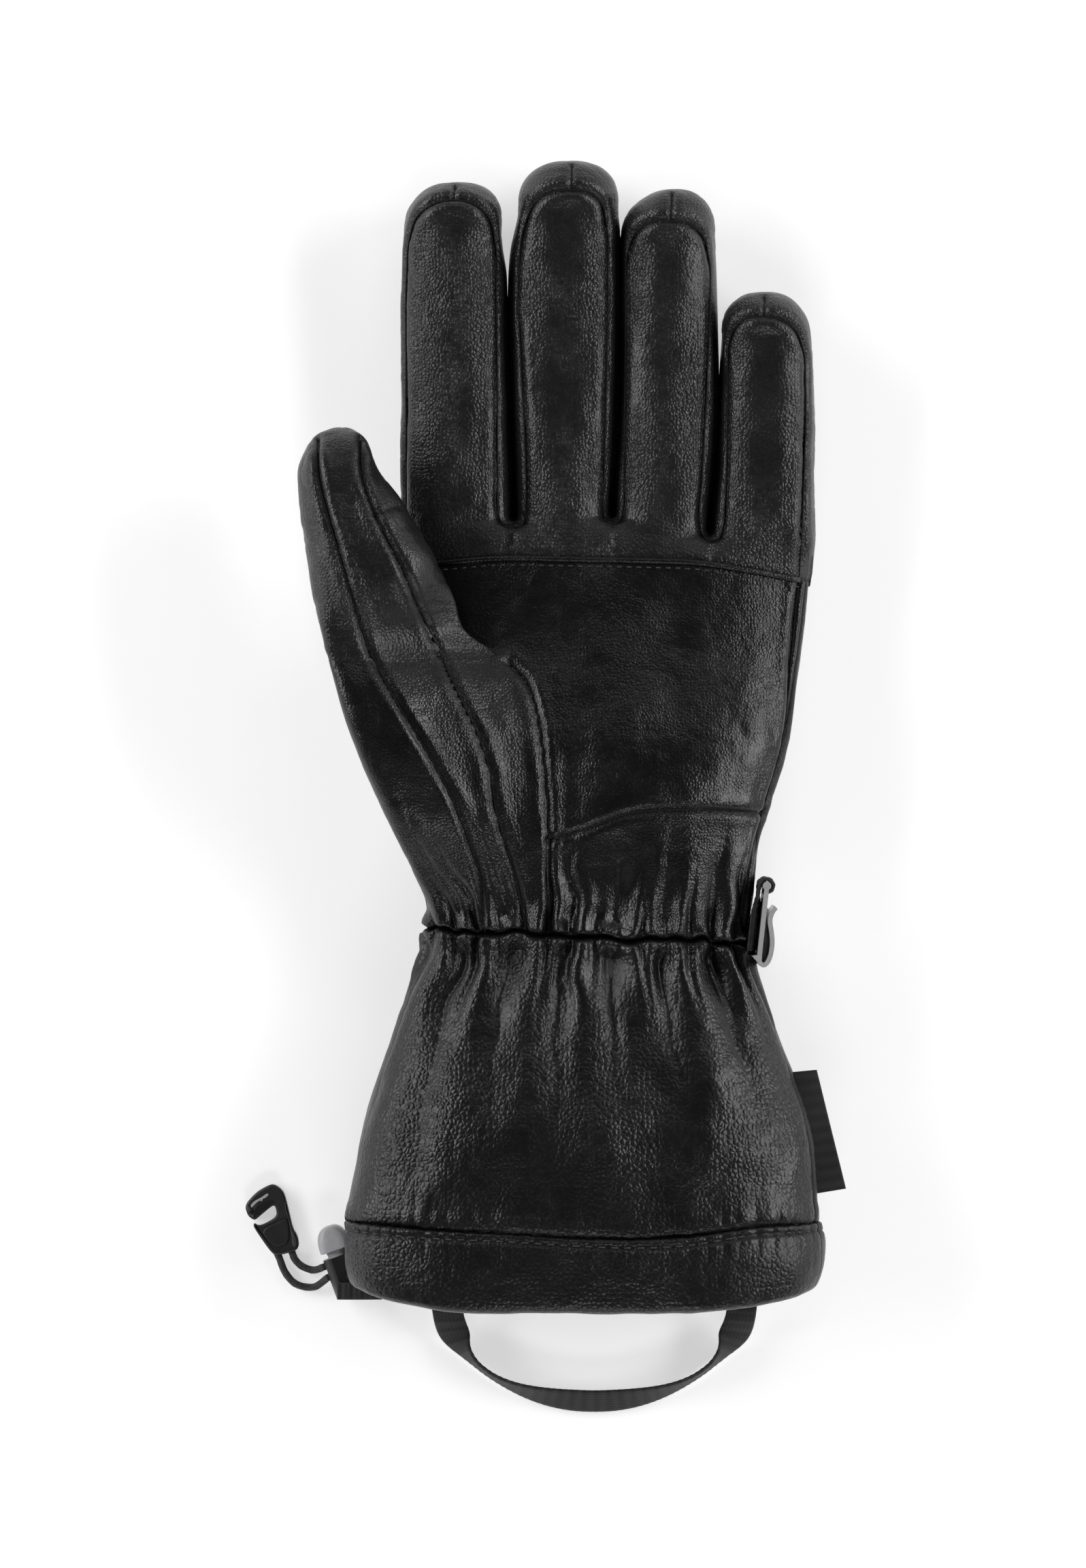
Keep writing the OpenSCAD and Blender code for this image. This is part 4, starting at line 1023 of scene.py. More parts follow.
def stitches(name, path, up, body, pitch, length, radius, dip=0.12, bend=None):
    """A row of stitches along a path: each is a short thread of radius r * sqrt(1 - |w|^3) over
    its length w = -1..1, and its ends dive into the leather as w^2."""
    s = walked(path)
    at = np.arange(pitch / 2, s[-1] - pitch / 2, pitch)

    def along(values, at):
        """Values given at the path's points, read at lengths along it."""
        return np.stack([np.interp(at, s, values[:, k]) for k in range(3)], 1)

    centre = along(path, at)
    ahead = unit(along(path, at + 0.5) - centre)
    side = unit(np.cross(ahead, along(up, at)))
    lift = np.cross(side, ahead)
    w, a = np.linspace(-1, 1, 9)[:, None], np.radians(around(8))
    r = radius * np.sqrt(np.clip(1 - np.abs(w) ** 3, 0.02, 1))
    local = np.stack(np.broadcast_arrays(w * length / 2, r * np.cos(a),
                                         r * np.sin(a) + dip * (1 - 3.2 * w ** 2)), -1)
    n, m = local.shape[:2]
    pts = (centre[:, None, None] + local[None, ..., :1] * ahead[:, None, None]
           + local[None, ..., 1:2] * side[:, None, None] + local[None, ..., 2:] * lift[:, None, None])
    faces = [f for k in range(len(at)) for f in tube_faces(n, m, k * n * m)]
    sewn(make(name, pts.reshape(-1, 3), faces, THREAD), body, bend)


# ---- Fingers -----------------------------------------------------------------------------------

# Where a finger's skin starts under the piping, how long its tip closes, how much it rises
BOTTOM_Y = 92.5
TIP_L = 11
CURL = 5
# Half depth of a finger, and the height of its axis on the floor
FINGER_HALF = 12.5
# How wide a gap between two fingers ends
ROLL = 4.2
# Short seam from the fork of index and middle finger down to the piping
FORK_SEAM = [(-25.9, 107.2), (-26.4, 104), (-26.6, 100.2)]
# Left and right edges up the finger, the crotches beside it, its tip and the U of its palm panel
FORK_A = [(92, -25.2), (110, -25.2), (125, -25.7), (150, -26.6), (170, -27.1)]
FORK_B = [(92, 0.9), (112, 0.9), (130, 2.0), (150, 2.8), (178, 3.1)]
FORK_C = [(92, 26.9), (107, 26.9), (125, 28.5), (149, 29.6)]
FORK_A_Y, FORK_B_Y, FORK_C_Y = 107.9, 108.8, 104.3
FINGERS = {
    "index": ([(92, -54.8), (108, -55.6), (150, -55.6), (175, -55.3), (186, -54.7), (200.3, -52.5)],
              FORK_A + [(176, -27.3), (184, -28.4), (190, -28.8), (200.3, -28)],
              (None, FORK_A_Y), 200.3,
              [(-54.2, 112), (-54.2, 150), (-54.0, 176), (-53.4, 184), (-51.1, 190.6), (-46.5, 193.8),
               (-41.3, 194.7), (-35.8, 193.6), (-31.8, 190), (-30.3, 184), (-30.0, 170), (-29.8, 150),
               (-29.7, 120), (-29.6, 113), (-29.0, 110), (-27.4, 108.3), (-25.2, FORK_A_Y)]),
    "middle": (FORK_A + [(182, -26.4), (192, -24.6), (206, -23)],
               FORK_B + [(186, 3.0), (192, 2.6), (206, 2.6)],
               (FORK_A_Y, FORK_B_Y), 206,
               [(-25.2, FORK_A_Y), (-23.4, 108.3), (-22.4, 110.5), (-22.2, 114), (-22.4, 130),
                (-23.4, 150), (-24.0, 178), (-22.9, 187.1), (-19.5, 194.3), (-15, 196.8), (-10.2, 197.3),
                (-5.8, 196.8), (-2.4, 194.5), (-0.6, 188), (-0.3, 175), (-0.6, 150), (-1.3, 120),
                (-1.4, 113), (-0.9, 110), (0.9, FORK_B_Y)]),
    "ring": (FORK_B + [(186, 3.5), (192, 4.6), (198.4, 7)],
             FORK_C + [(158, 29.4), (180, 28.7), (190, 28.2), (198.4, 28)],
             (FORK_B_Y, FORK_C_Y), 198.4,
             [(0.9, FORK_B_Y), (2.9, 110), (3.7, 113), (3.9, 120), (4.4, 150), (4.6, 172), (4.9, 181),
              (7.1, 186.3), (11.4, 188.8), (16.4, 189.1), (21.4, 188.2), (24.7, 185.8), (26.7, 179.3),
              (26.9, 168), (26.3, 150), (24.8, 120), (24.3, 109), (25, 106), (26.9, FORK_C_Y)]),
    "little": (FORK_C + [(157, 30.2), (163, 30.4), (170.9, 30.5)],
               [(92, 54.2), (110, 55.3), (130, 55.3), (149, 54.6), (158, 54), (170.9, 52)],
               (FORK_C_Y, None), 170.9,
               [(26.9, FORK_C_Y), (29.2, 105), (30.4, 108), (30.8, 113), (31.6, 140), (31.6, 152),
                (31.9, 157), (33.6, 161.2), (37, 163.4), (41.1, 163.8), (46, 162.8), (49.6, 160.2),
                (51.8, 155), (52.4, 146), (52.0, 120), (51, 98), (50.7, 93)]),
}


def section(a, n):
    """Unit superellipse read by direction, so that columns spread evenly however square it is."""
    c, s = np.cos(np.radians(a)), np.sin(np.radians(a))
    r = (np.abs(c) ** n + np.abs(s) ** n) ** (-1 / n)
    return c * r, s * r


def finger_points(f, y, tip_turn, a, o=0.0):
    """A finger's rings. Low down, a ring is the slice of the hand between the neighbouring
    fingers. At a crotch, wall points nearer than `end` to the shared plane lie on it and the
    others move to sqrt(e^2 - end^2), which rounds the end of the gap into a U. Higher up the
    section is nearly round, rises a little towards the tip and closes there."""
    left_t, right_t, crotches, tip = f[:4]
    left, right = follow(left_t, y), follow(right_t, y)
    narrow = np.cos(tip_turn) ** 0.75
    left = left - (0.9 * (1 - ease((y - crotches[0] + 1) / 2.5)) if crotches[0] else 0)
    right = right + (0.9 * (1 - ease((y - crotches[1] + 1) / 2.5)) if crotches[1] else 0)
    half_w = (right - left) / 2
    opened = [ease((y - 99) / 13) if c is None else ease((y - c + 5.5) / 6.5) for c in crotches]
    n = 1 / mix(1 / 40, 1 / 2.35, np.where(np.cos(np.radians(a)) > 0, opened[1], opened[0]))
    c, s = section(a, n)
    half = half_w * narrow - o * narrow
    x = half * c
    for sign, crotch in zip((-1, 1), crotches):
        if crotch:
            end = np.clip(ROLL - 1.6 * (y - crotch), 0, ROLL) * ease((y - 99) / (crotch - 99))
            e = half - sign * x
            shut = np.maximum(half, end + 1)
            e = half * np.sqrt(np.clip(e * e - end * end, 0, None) / (shut * shut - end * end))
            x = np.where(sign * c > 0, sign * (half - e), x)
    x = x + (left + right) / 2
    hand_l, hand_r = side_edges(y)
    across = np.clip((x - (hand_l + hand_r) / 2) / ((hand_r - hand_l) / 2), -0.9999, 0.9999)
    hand_half = (roof_z(y) - floor_z(y)) / 2 * (1 - np.abs(across) ** ROUND) ** (1 / ROUND)
    m = ease((y - 96) / 17)
    rise = CURL * np.clip((y - 105) / (tip - 105), 0, 1) ** 2
    z = (mix((roof_z(y) + floor_z(y)) / 2, FINGER_HALF + rise, m)
         + (mix(hand_half, FINGER_HALF, m) * narrow - o * narrow) * s)
    return np.stack(np.broadcast_arrays(x, y - o * np.sin(tip_turn), z), -1).astype(float)


def tip_rows(bottom, top, length, step, turns=26):
    """Stations from bottom to the tip, and the tip's turning angle at each."""
    start_y = top - length
    straight = np.linspace(bottom, start_y, int((start_y - bottom) / step))
    turn = np.linspace(0, np.radians(88.5), turns)[1:]
    y = np.concatenate([straight, start_y + length * np.sin(turn)])
    return y[:, None], np.concatenate([straight * 0, turn])[:, None]


def build_finger(name, f, seed):
    """The finger's leather: a U-ended palm panel, walls that wrap the tip and meet in a short
    seam, and a back panel."""
    crotches, tip, u_line = f[2:]
    y, turn = tip_rows(BOTTOM_Y, tip, TIP_L, 0.75)
    a = around(112)
    g = finger_points(f, y, turn, a)
    n = normals(g, True)
    top = max(u_line, key=lambda q: q[1])
    d, mark = cut(g, n, [u_line], 0.9, 0.4, 0.65)
    d += cut(g, n, [[(top[0], top[1] + 0.5), (top[0] + 0.3, tip - 2.4)]], 0.7, 0.25, 0.6)[0]
    for back_seam in (222, 318):
        away = np.abs(a - back_seam) * 0.24
        d += stitched(away, 0.5, 0.2, 0.7) * ease((y - 112) / 6)
        mark = np.maximum(mark, bump(away, 0.6) * ease((y - 112) / 6))
    clear = ease((y - 99) / 8)
    facing = np.clip(np.abs(n[..., 0]) * 1.15, 0, 1) ** 3
    calm = mix(0.5, 1, clear) * mix(1, 0.35, ease((y - tip + 14) / 9))
    d += (0.45 * fbm(g, (12, 17, 12), 101, 2) + 0.08 * fbm(g, 4.5, 104, 2)) * calm
    d -= 0.12 * crease(g, (16, 4.5, 16), 110, 6) * clear
    d += 0.5 * bump(y - tip + 6, 5) * (n[..., 2] > 0)
    piped = y - np.where(n[..., 2] > 0, piped_y(g[..., 0]), 97.5)
    d -= 0.9 * (1 - ease((piped + 1.6) / 2.2))
    d -= 0.35 * bump(piped - 0.6, 0.9)
    knuckle = 105 + (tip - 105) * 0.36
    d -= 0.3 * bump(y - knuckle, 5) * (n[..., 2] > 0)
    if name in ("index", "middle"):
        fork, fork_mark = cut(g, n, [FORK_SEAM], 0.8, 0.25, 0.75)
        d, mark = d + fork, np.maximum(mark, fork_mark)
    below = (n[..., 2] < 0) & (d > 0)
    d = np.where(below, d * ease((g[..., 2] - 0.2) / 4), d)
    inner_side = np.where(n[..., 0] > 0, crotches[1] is not None, crotches[0] is not None)
    d *= 1 - facing * inner_side * (1 - ease((y - tip + 24) / 10))
    wear = np.clip(0.42 + 0.5 * d + 0.25 * (1 - np.cos(turn)), 0, 1)
    outer = g + n * d[..., None]
    piece = shell(name + "_skin", outer, g + n * (d[..., None] * 0.4 - THICK), FINGER,
                  marks={"wear": wear, "seam": np.maximum(mark, bump(piped, 0.8))}, pole=True)
    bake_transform(piece)
    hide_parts(name + "_palm_side", name + "_back", name + "_walls")
    on = normals(outer, True)
    lines = [u_line, [(top[0], top[1] + 0.3), (top[0] + 0.3, tip - 1.2)]]
    if name == "index":
        lines.append(FORK_SEAM)
    bend = ("hand", name, *KNUCKLE)
    crack_shade_lines(name + "_crack_shade", outer, on, lines, bend=bend)
    keep = [q for q in u_line if q[1] < tip - 12 and q[1] > 111]
    for k, inward in enumerate((1, -1)):
        part = [q for q in keep if (top[0] - q[0]) * inward > 0]
        if len(part) > 2:
            low, up = drape(outer, on, fine(moved(part, 0.75 * inward, 0), 0.8))
            stitches(name + "_stitches_%d" % k, low, up, None, 2.3, 1.3, 0.14, 0.05, bend=bend)
    y, turn = tip_rows(BOTTOM_Y + 3, tip, TIP_L, 1.6, 12)
    g = finger_points(f, y, turn, around(56), 3.4)
    m = normals(g, True)
    fuzz = 0.18 * fbm(g, 2.6, seed + 20, 2)[..., None]
    lining = shell(name + "_fleece", g + m * fuzz * 0.4, g - m * (1.1 + fuzz), LINING, pole=True)
    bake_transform(lining)
    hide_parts(name + "_lining")


for k, (label, finger) in enumerate(FINGERS.items()):
    build_finger(label, finger, 101 + 13 * k)

# ---- Thumb -------------------------------------------------------------------------------------

THUMB_TIP = 134.4
THUMB_TIP_L = 13
THUMB_LEFT = [(76, -75.3), (83.4, -76.9), (90.7, -78.4), (98, -79.6), (107.5, -81.1), (114, -82.2),
              (122, -82.6), (134.4, -81)]
THUMB_RIGHT = [(76, -31.8), (79, -36.4), (87.8, -40.7), (97.6, -45.3), (103, -48.2), (109, -51.8),
               (115.6, -56), (122, -60.6), (134.4, -61.5)]


def thumb_points(y, turn, a):
    """The thumb's rings. The first are the crescent between the pushed-out root and the palm
    under it. They turn into rounded sections that lean outwards and close at the tip, and each
    is fitted between the thumb's left and right edges."""
    low = np.minimum(y, CROTCH_Y)
    grid_a = np.linspace(100, SIDE_B, 171)[None, :]
    k = root_swell(low, grid_a)
    first = grid_a[0][np.argmax(k[-1] > 0.004)]
    back = np.clip((a - 200) / 160, 0, 1)
    outer = hand_points(low, mix(first, SIDE_B, np.clip(a / 200, 0, 1)))
    inner = tube(low, mix(SIDE_B, first, back), 3.2 * np.sin(np.pi * back) ** 0.6)
    crescent = np.where((a <= 200)[..., None], outer, inner)
    c, s = section(a, 2.35)
    t = (y - CROTCH_Y) / (THUMB_TIP - CROTCH_Y)
    narrow = np.cos(turn) ** 1.05
    round_z = mix(40.5, 33.2, t) + mix(13, 11.6, t) * narrow * s
    m = ease((y - CROTCH_Y) / 30)
    x = mix(crescent[..., 0], 20 * c - 60, m)
    z = mix(crescent[..., 2], round_z, m)
    lo, hi = x.min(1, keepdims=True), x.max(1, keepdims=True)
    root = crescent[..., 0]
    blend_in = ease((y - CROTCH_Y) / 4)
    left = mix(root.min(1, keepdims=True), follow(THUMB_LEFT, y), blend_in)
    right = mix(root.max(1, keepdims=True), follow(THUMB_RIGHT, y), blend_in)
    mid, half = (left + right) / 2, (right - left) / 2 * narrow
    x = mid + (x - (lo + hi) / 2) / (hi - lo) * 2 * half
    return np.stack(np.broadcast_arrays(x, y, z), -1).astype(float)


def build_thumb():
    """The thumb's leather, with the strip between two long seams up its palm side."""
    y, turn = tip_rows(69.0, THUMB_TIP, THUMB_TIP_L, 0.7)
    g = thumb_points(y, turn, around(150))
    n = normals(g, True)
    lines = [[q for q in STRIP_SEAM if q[1] > 60], [q for q in INNER_SEAM if q[1] > 60]]
    d, mark = cut(g, n, lines, 0.95, 0.5, 0.65)
    cross, cross_mark = cut(g, n, [CROSS_SEAM], 0.6, 0.2, 0.6)
    d, mark = d + cross, np.maximum(mark, cross_mark)
    up = ease((y - 74) / 16)
    d += mix(hand_relief(g, 99), 0.55 * fbm(g, (14, 20, 14), 301, 2) + 0.14 * fbm(g, 4.5, 305, 2), up)
    d -= 0.3 * crease(g, (16, 6, 16), 309, 6) * up
    d -= 0.6 * (1 - ease((y - 70.6) / 1.3))
    wear = np.clip(0.42 + 0.5 * d + 0.25 * (1 - np.cos(turn)), 0, 1)
    outer = g + n * d[..., None]
    piece = shell("thumb_skin", outer, g + n * (d[..., None] * 0.4 - THICK), FINGER,
                  marks={"wear": wear, "seam": mark}, pole=True)
    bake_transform(piece)
    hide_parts("thumb_outer", "thumb_strip", "thumb_inner", "thumb_back")
    on = normals(outer, True)
    lines = [[q for q in STRIP_SEAM if q[1] > 71], [q for q in INNER_SEAM if q[1] > 71], CROSS_SEAM]
    bend = ("hand", "thumb", *THUMB_ROOT)
    crack_shade_lines("thumb_crack_shade", outer, on, lines, bend=bend)
    for k, (line, shift) in enumerate(((lines[0], 1.0), (lines[1], -1.0), (lines[1], 1.0))):
        low, up = drape(outer, on, fine(moved([q for q in line if q[1] < 126], shift, 0), 0.8))
        stitches("thumb_stitches_%d" % k, low, up, None, 2.3, 1.3, 0.14, 0.05, bend=bend)
    y, turn = tip_rows(74.0, THUMB_TIP, THUMB_TIP_L, 1.6, 12)
    g = thumb_points(y, turn, around(60))
    n = normals(g, True)
    fuzz = 0.18 * fbm(g, 2.6, 320, 2)[..., None]
    lining = shell("thumb_fleece", g - n * (LINING_IN - fuzz * 0.4), g - n * (LINING_IN + 1.1 + fuzz),
                   LINING, pole=True)
    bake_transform(lining)
    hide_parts("thumb_lining")


build_thumb()

# ---- Linings and elastic -----------------------------------------------------------------------

ELASTIC_W = 7


def build_inside():
    """Fleece lining of hand and cuff with filling behind it, and the ribbed wrist elastic."""
    a = around(150)
    for label, of_hand, y0, y1, rows, slot, deep, node in (
            ("hand_fleece", True, -4.0, 99, 80, "lining", LINING_IN, "hand_lining"),
            ("hand_filling", True, -3.8, 98, 40, "insulation", FILLING_IN, "hand_insulation"),
            ("cuff_fleece", False, -77.0, -4.2, 70, "lining", LINING_IN, "cuff_lining"),
            ("cuff_filling", False, -76.6, -4.6, 40, "insulation", FILLING_IN, "cuff_insulation")):
        y = np.linspace(y0, y1, rows)[:, None]
        g = hand_points(y, a, deep) if of_hand else tube(y, a, deep)
        n = normals(g, True)
        tuft = 0.14 * fbm(g, 2.2, 401, 2)[..., None]
        piece = shell(label, g + n * tuft * 0.3, g - n * (1.0 + tuft), LINING)
        if of_hand:
            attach(piece, "hand")
        else:
            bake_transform(piece)
        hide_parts(node)
    y = np.linspace(-ELASTIC_W / 2, ELASTIC_W / 2, 15)[:, None] + 0 * a
    g = tube(y, a, 5.0)
    n = normals(g, True)
    rib = 0.12 * np.sin(y / 1.1 * 2 * np.pi)[..., None]
    band = shell("elastic_band", g + n * rib, g - n * (0.7 + rib), TAPE,
                 marks={"along": y, "across": y / ELASTIC_W})
    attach(band, "hand")
    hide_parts("wrist_elastic")


build_inside()

# ---- Piping and hem stitches -------------------------------------------------------------------


def build_sewing():
    """Piping across the palm, and the rows of stitches that show."""
    hn = normals(hand_grid, True)
    path, up = drape(hand_grid, hn, fine(PIPED_SEAM, 0.8))
    piping = rope("palm_piping_cord", path + up * 0.45, 0.85, PALM, 12)
    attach(piping, "hand")
    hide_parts("palm_piping")
    low, up = drape(hand_grid, hn, fine(moved(PIPED_SEAM, 0, -1.6), 0.8))
    stitches("piping_stitches", low, up, "hand", 2.6, 1.7, 0.22)
    for k, (grid, n) in enumerate(hem_grids):
        under = k == 1
        line = moved(HEM_SEAM, 0, -2.4) if k == 0 else [(x, -79.8) for x in np.linspace(-60, 48, 9)]
        p, up = drape(grid, n, fine(line, 0.9), under)
        stitches("hem_stitches_" + ("back" if under else "front"), p, up, "cuff", 3.4, 2.2, 0.26)


build_sewing()

# ---- Webbing -----------------------------------------------------------------------------------

# The buckle's bar, its lean, and the tab: bend radius, length and width
BAR = np.array([41.76, 12.5, 23.0])
LEAN = math.radians(-6)
TAB_R, TAB_L, TAB_W = 1.8, 17.6, 15.8
# The cord lock's middle, its turn about +Z, and the direction its button moves along
LOCK_POS = np.array([-72, -89.5, 4.4])
TILT = math.radians(20)
LOCK_AXIS = (-math.sin(TILT), math.cos(TILT), 0)
# The hang loop: angles of its two ends round the rim, where its arch starts, how far it goes
LOOP_ENDS = 232, 318
LOOP_Y, LOOP_REACH, LOOP_W = -95, 32, 8.5


def turned(p, angle, at):
    """Points turned about +Z by angle and moved to at."""
    p = np.asarray(p, float)
    c, s = math.cos(angle), math.sin(angle)
    return np.stack([p[:, 0] * c - p[:, 1] * s, p[:, 0] * s + p[:, 1] * c, p[:, 2]], 1) + at


def build_strap():
    """Wrist strap across the back, just off the leather, with ribs woven across it."""
    a = np.linspace(205, 333, 190)[None, :]
    y = np.linspace(3, 21, 24)[:, None]
    s = round_ring(a, 12)[0] * np.ones_like(y)
    u = (y - 12) / 9 * np.ones_like(a)
    edge = (1 - np.abs(u) ** 10) ** 0.5
    rib = 0.11 * np.sin(s / 1.7 * 2 * np.pi) * edge
    middle = tube(y, a, -0.9)
    n = normals(middle, False)
    out = middle + n * (0.55 * edge + rib)[..., None]
    inn = middle - n * (0.55 * edge)[..., None]
    piece = shell("strap_tape", out, inn, TAPE, ring=False, marks={"along": s, "across": u})
    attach(piece, "hand")
    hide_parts("wrist_strap")


def build_tab():
    """Webbing folded round the buckle's bar and hanging down behind the hook."""
    t = np.linspace(0, 1, 40)
    down = np.stack([np.full(40, -TAB_R), mix(-TAB_L, 0, t), t * 0], 1)
    b = np.linspace(math.pi, -0.62 * math.pi, 60)[1:]
    loop = np.stack([TAB_R * np.cos(b), TAB_R * np.sin(b), b * 0], 1)
    local = np.concatenate([down, loop])
    path = turned(local, LEAN, BAR)
    lean = np.radians(10 * ease(-local[:, 1] / 8) * (local[:, 0] < 0))
    wide = np.stack([-np.sin(lean), 0 * lean, np.cos(lean)], 1)
    thick = unit(np.cross(wide, frames(path, wide)[0]))
    piece = ribbon("tab_tape", path, wide, thick, TAB_W, 1.5)
    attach(piece, "hand")
    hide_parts("buckle_tab")


def rim_point(y, a, o):
    """One point of the cuff's tube, o under its skin."""
    return tube(np.array([[float(y)]]), np.array([[float(a)]]), o)[0, 0]


def build_loop():
    """Hang loop: webbing from inside the hem, out and round in an arch, turned on edge at both
    of its bends. Along it, x goes as the cosine and y as sin^0.75 of the way round."""
    t = np.linspace(0, 1, 260)[:, None]
    first, last = (rim_point(LOOP_Y, a, 6.9) for a in LOOP_ENDS)

    def arch(t):
        """x and y at share t of the way along the loop."""
        turn = np.pi * np.clip(t, 0, 1)
        return np.concatenate([(first[0] + last[0]) / 2 - (last[0] - first[0]) / 2 * np.cos(turn),
                               LOOP_Y - LOOP_REACH * np.clip(np.sin(turn), 0, 1) ** 0.75], 1)

    along = unit(arch(t + 0.01) - arch(t - 0.01))
    side = np.stack([-along[:, 1], along[:, 0], along[:, 0] * 0], 1)
    from_end = np.minimum(t, 1 - t)
    twist = np.radians(78 * ease(from_end / 0.22) - 36 * ease((from_end - 0.24) / 0.24))
    free = ease((from_end - 0.03) / 0.14)
    rims = [rim_point(-100, a + 2, 5) - rim_point(-100, a - 2, 5) for a in LOOP_ENDS]
    rim = unit(np.where(t < 0.5, rims[0], rims[1]))
    rim = rim * np.sign((rim * side).sum(1, keepdims=True) + 0.0001)
    wide = unit((1 - free) * rim + free * (np.cos(twist) * side + np.sin(twist) * np.array([0, 0, 1])))
    thick = unit(np.cross(wide, np.concatenate([along, along[:, :1] * 0], 1)))
    z = mix(np.where(t < 0.5, first[2], last[2]), LOOP_W / 2 * np.abs(wide[:, 2:]) + 1.2, free)
    piece = ribbon("loop_tape", np.concatenate([arch(t), z], 1), wide, thick, LOOP_W, 1.7)
    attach(piece, "cuff")
    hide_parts("hang_loop")


def build_label():
    """Bare woven flag sewn into the side seam, leaning outwards, with one fold line."""
    u = np.linspace(0, 1, 60)[:, None]
    v = np.linspace(0, 1, 18)[None, :]
    root_x = follow(CUFF_RIGHT, -37 - 33 * u)
    x = mix(root_x - 0.6, mix(55.4, 63.2, u), v)
    y = mix(mix(-37.4, -69.8, u), mix(-36.7, -68.4, u), v)
    z = 22 + 0.35 * np.sin(u * 7 + v * 1.5) + 0.25 * v
    top = np.stack(np.broadcast_arrays(x, y, z), -1)
    fold = bump((u - 0.235) * 33, 0.5) + 0 * v
    edge = 1 - 0.5 * (np.abs(2 * v - 1) ** 14) + 0 * u
    half = (0.32 * edge - 0.22 * fold)[..., None] * np.array([0, 0, 1])
    piece = shell("label_tape", top[::-1] + half[::-1], top[::-1] - half[::-1], LABEL, ring=False,
                  marks={"along": u * 33 + 0 * v, "across": v * 8 + 0 * u, "seam": fold})
    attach(piece, "cuff")
    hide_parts("side_label")


build_strap()
build_tab()
build_loop()
build_label()

# ---- Cords -------------------------------------------------------------------------------------


def through(points, step=0.4):
    """Smooth path through the given points, evenly spaced."""
    p = np.asarray(points, float)
    t = walked(p)
    s = np.linspace(0, t[-1], int(t[-1] / step))
    return np.stack([curve(s, t, p[:, k]) for k in range(3)], 1)


def lock_point(x, y):
    """A point of the lock's middle plane, across and along its body."""
    return turned([[x, y, 0]], TILT, LOCK_POS)[0]


def build_cords():
    """The hem's drawcord inside the fold, and its two ends beyond the lock. Both ends are much
    shorter than a free cord."""
    ring = tube(np.linspace(-88, -91.5, 60)[:, None], np.linspace(200, -158, 60)[:, None], 3.9)[:, 0]
    start, end = lock_point(5.5, 0.4), lock_point(5.5, -2.6)
    path = np.concatenate([[lock_point(-4.5, 0.4), lock_point(0, 0.4), start, (start + ring[0]) / 2],
                           ring,
                           [(end + ring[-1]) / 2, end, lock_point(0, -2.6), lock_point(-4.5, -2.6)]])
    cord = rope("hem_drawcord", through(path, 0.9), 0.95, CORD, 12, (0, 1, 0), 4, 3.2)
    outer = np.array([lock_point(-4.5, -2.6), [-80, -96.5, 1.6], [-84.5, -95.5, 1.6], [-87.5, -92, 1.6],
                      [-88.7, -88.9, 1.6], [-89.7, -86.6, 1.6]])
    inner = np.array([lock_point(-4.5, 0.4), [-80, -91.8, 1.6], [-83, -90.6, 1.6], [-84.8, -88.6, 1.6],
                      [-85.3, -87.3, 1.6], [-86.2, -85.4, 1.6]])
    legs = [rope("drawcord_end_outer", through(outer), 0.98, CORD, 16, (0, 0, 1), 4, 3.2),
            rope("drawcord_end_inner", through(inner), 0.98, CORD, 16, (0, 0, 1), 4, 3.2)]
    for piece, node in zip([cord] + legs, ("hem_cord", "cord_leg_outer", "cord_leg_inner")):
        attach(piece, "cuff")
        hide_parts(node)
    corner = rim_point(-96.5, 212, -0.3)
    x = np.linspace(corner[0] - 12.6, corner[0] - 0.6, 60)
    path = np.stack([x, np.full(60, -96.9), 9.2 + 0.3 * np.sin((x - x[0]) / 3)], 1)
    wide, up = np.broadcast_to([0, 1.0, 0], path.shape), np.broadcast_to([0, 0, 1.0], path.shape)
    piece = ribbon("lock_tab_tape", path, wide, up, 4.6, 1.5)
    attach(piece, "cuff")
    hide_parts("lock_tab")


build_cords()

# ---- Small hard parts --------------------------------------------------------------------------


def rounded(points, cuts):
    """Closed outline with its corners cut off again and again, each time 0.22 of a side in."""
    p = np.asarray(points, float)
    for _ in range(cuts):
        q = np.roll(p, -1, 0)
        p = np.stack([0.78 * p + 0.22 * q, 0.22 * p + 0.78 * q], 1).reshape(-1, 2)
    return p


def plate(name, outline, low, high, soft, material, at, angle=0.0):
    """Flat piece between two levels. Its outline moves inwards by soft * (1 - sin) while its
    level rises by soft * (1 - cos), and the other way round above, so both rims are rounded."""
    p = outline
    edge = np.roll(p, -1, 0) - np.roll(p, 1, 0)
    inward = np.stack([-edge[:, 1], edge[:, 0]], 1) / np.linalg.norm(edge, axis=1)[:, None]
    area = (p[:, 0] * np.roll(p[:, 1], -1) - np.roll(p[:, 0], -1) * p[:, 1]).sum()
    inward *= np.sign(area)
    p = p if area > 0 else p[::-1]
    inward = inward if area > 0 else inward[::-1]
    turn = np.linspace(0, np.pi / 2, 5)
    inset = soft * np.concatenate([1 - np.sin(turn), 1 - np.cos(turn)])
    level = np.concatenate([low + soft * (1 - np.cos(turn)), high - soft * (1 - np.sin(turn))])
    g = p[None] + inward[None] * inset[:, None, None]
    n, m = g.shape[:2]
    z = np.repeat(level, m)
    v = turned(np.concatenate([g.reshape(-1, 2), z[:, None]], 1), angle, np.asarray(at, float))
    faces = [tuple(q) for q in quads(n, m, True)]
    faces += [tuple(range(m - 1, -1, -1)), tuple(range((n - 1) * m, n * m))]
    wear = np.repeat(np.concatenate([np.full(5, 0.6), np.full(4, 0.7), [0.4]]), m)
    obj = make(name, v, faces, material, marks={"wear": wear})
    for flat in (len(faces) - 1, len(faces) - 2):
        obj.data.polygons[flat].use_smooth = False
    return obj


CLIP_AT = (-90.9, -86.4, 0.1)
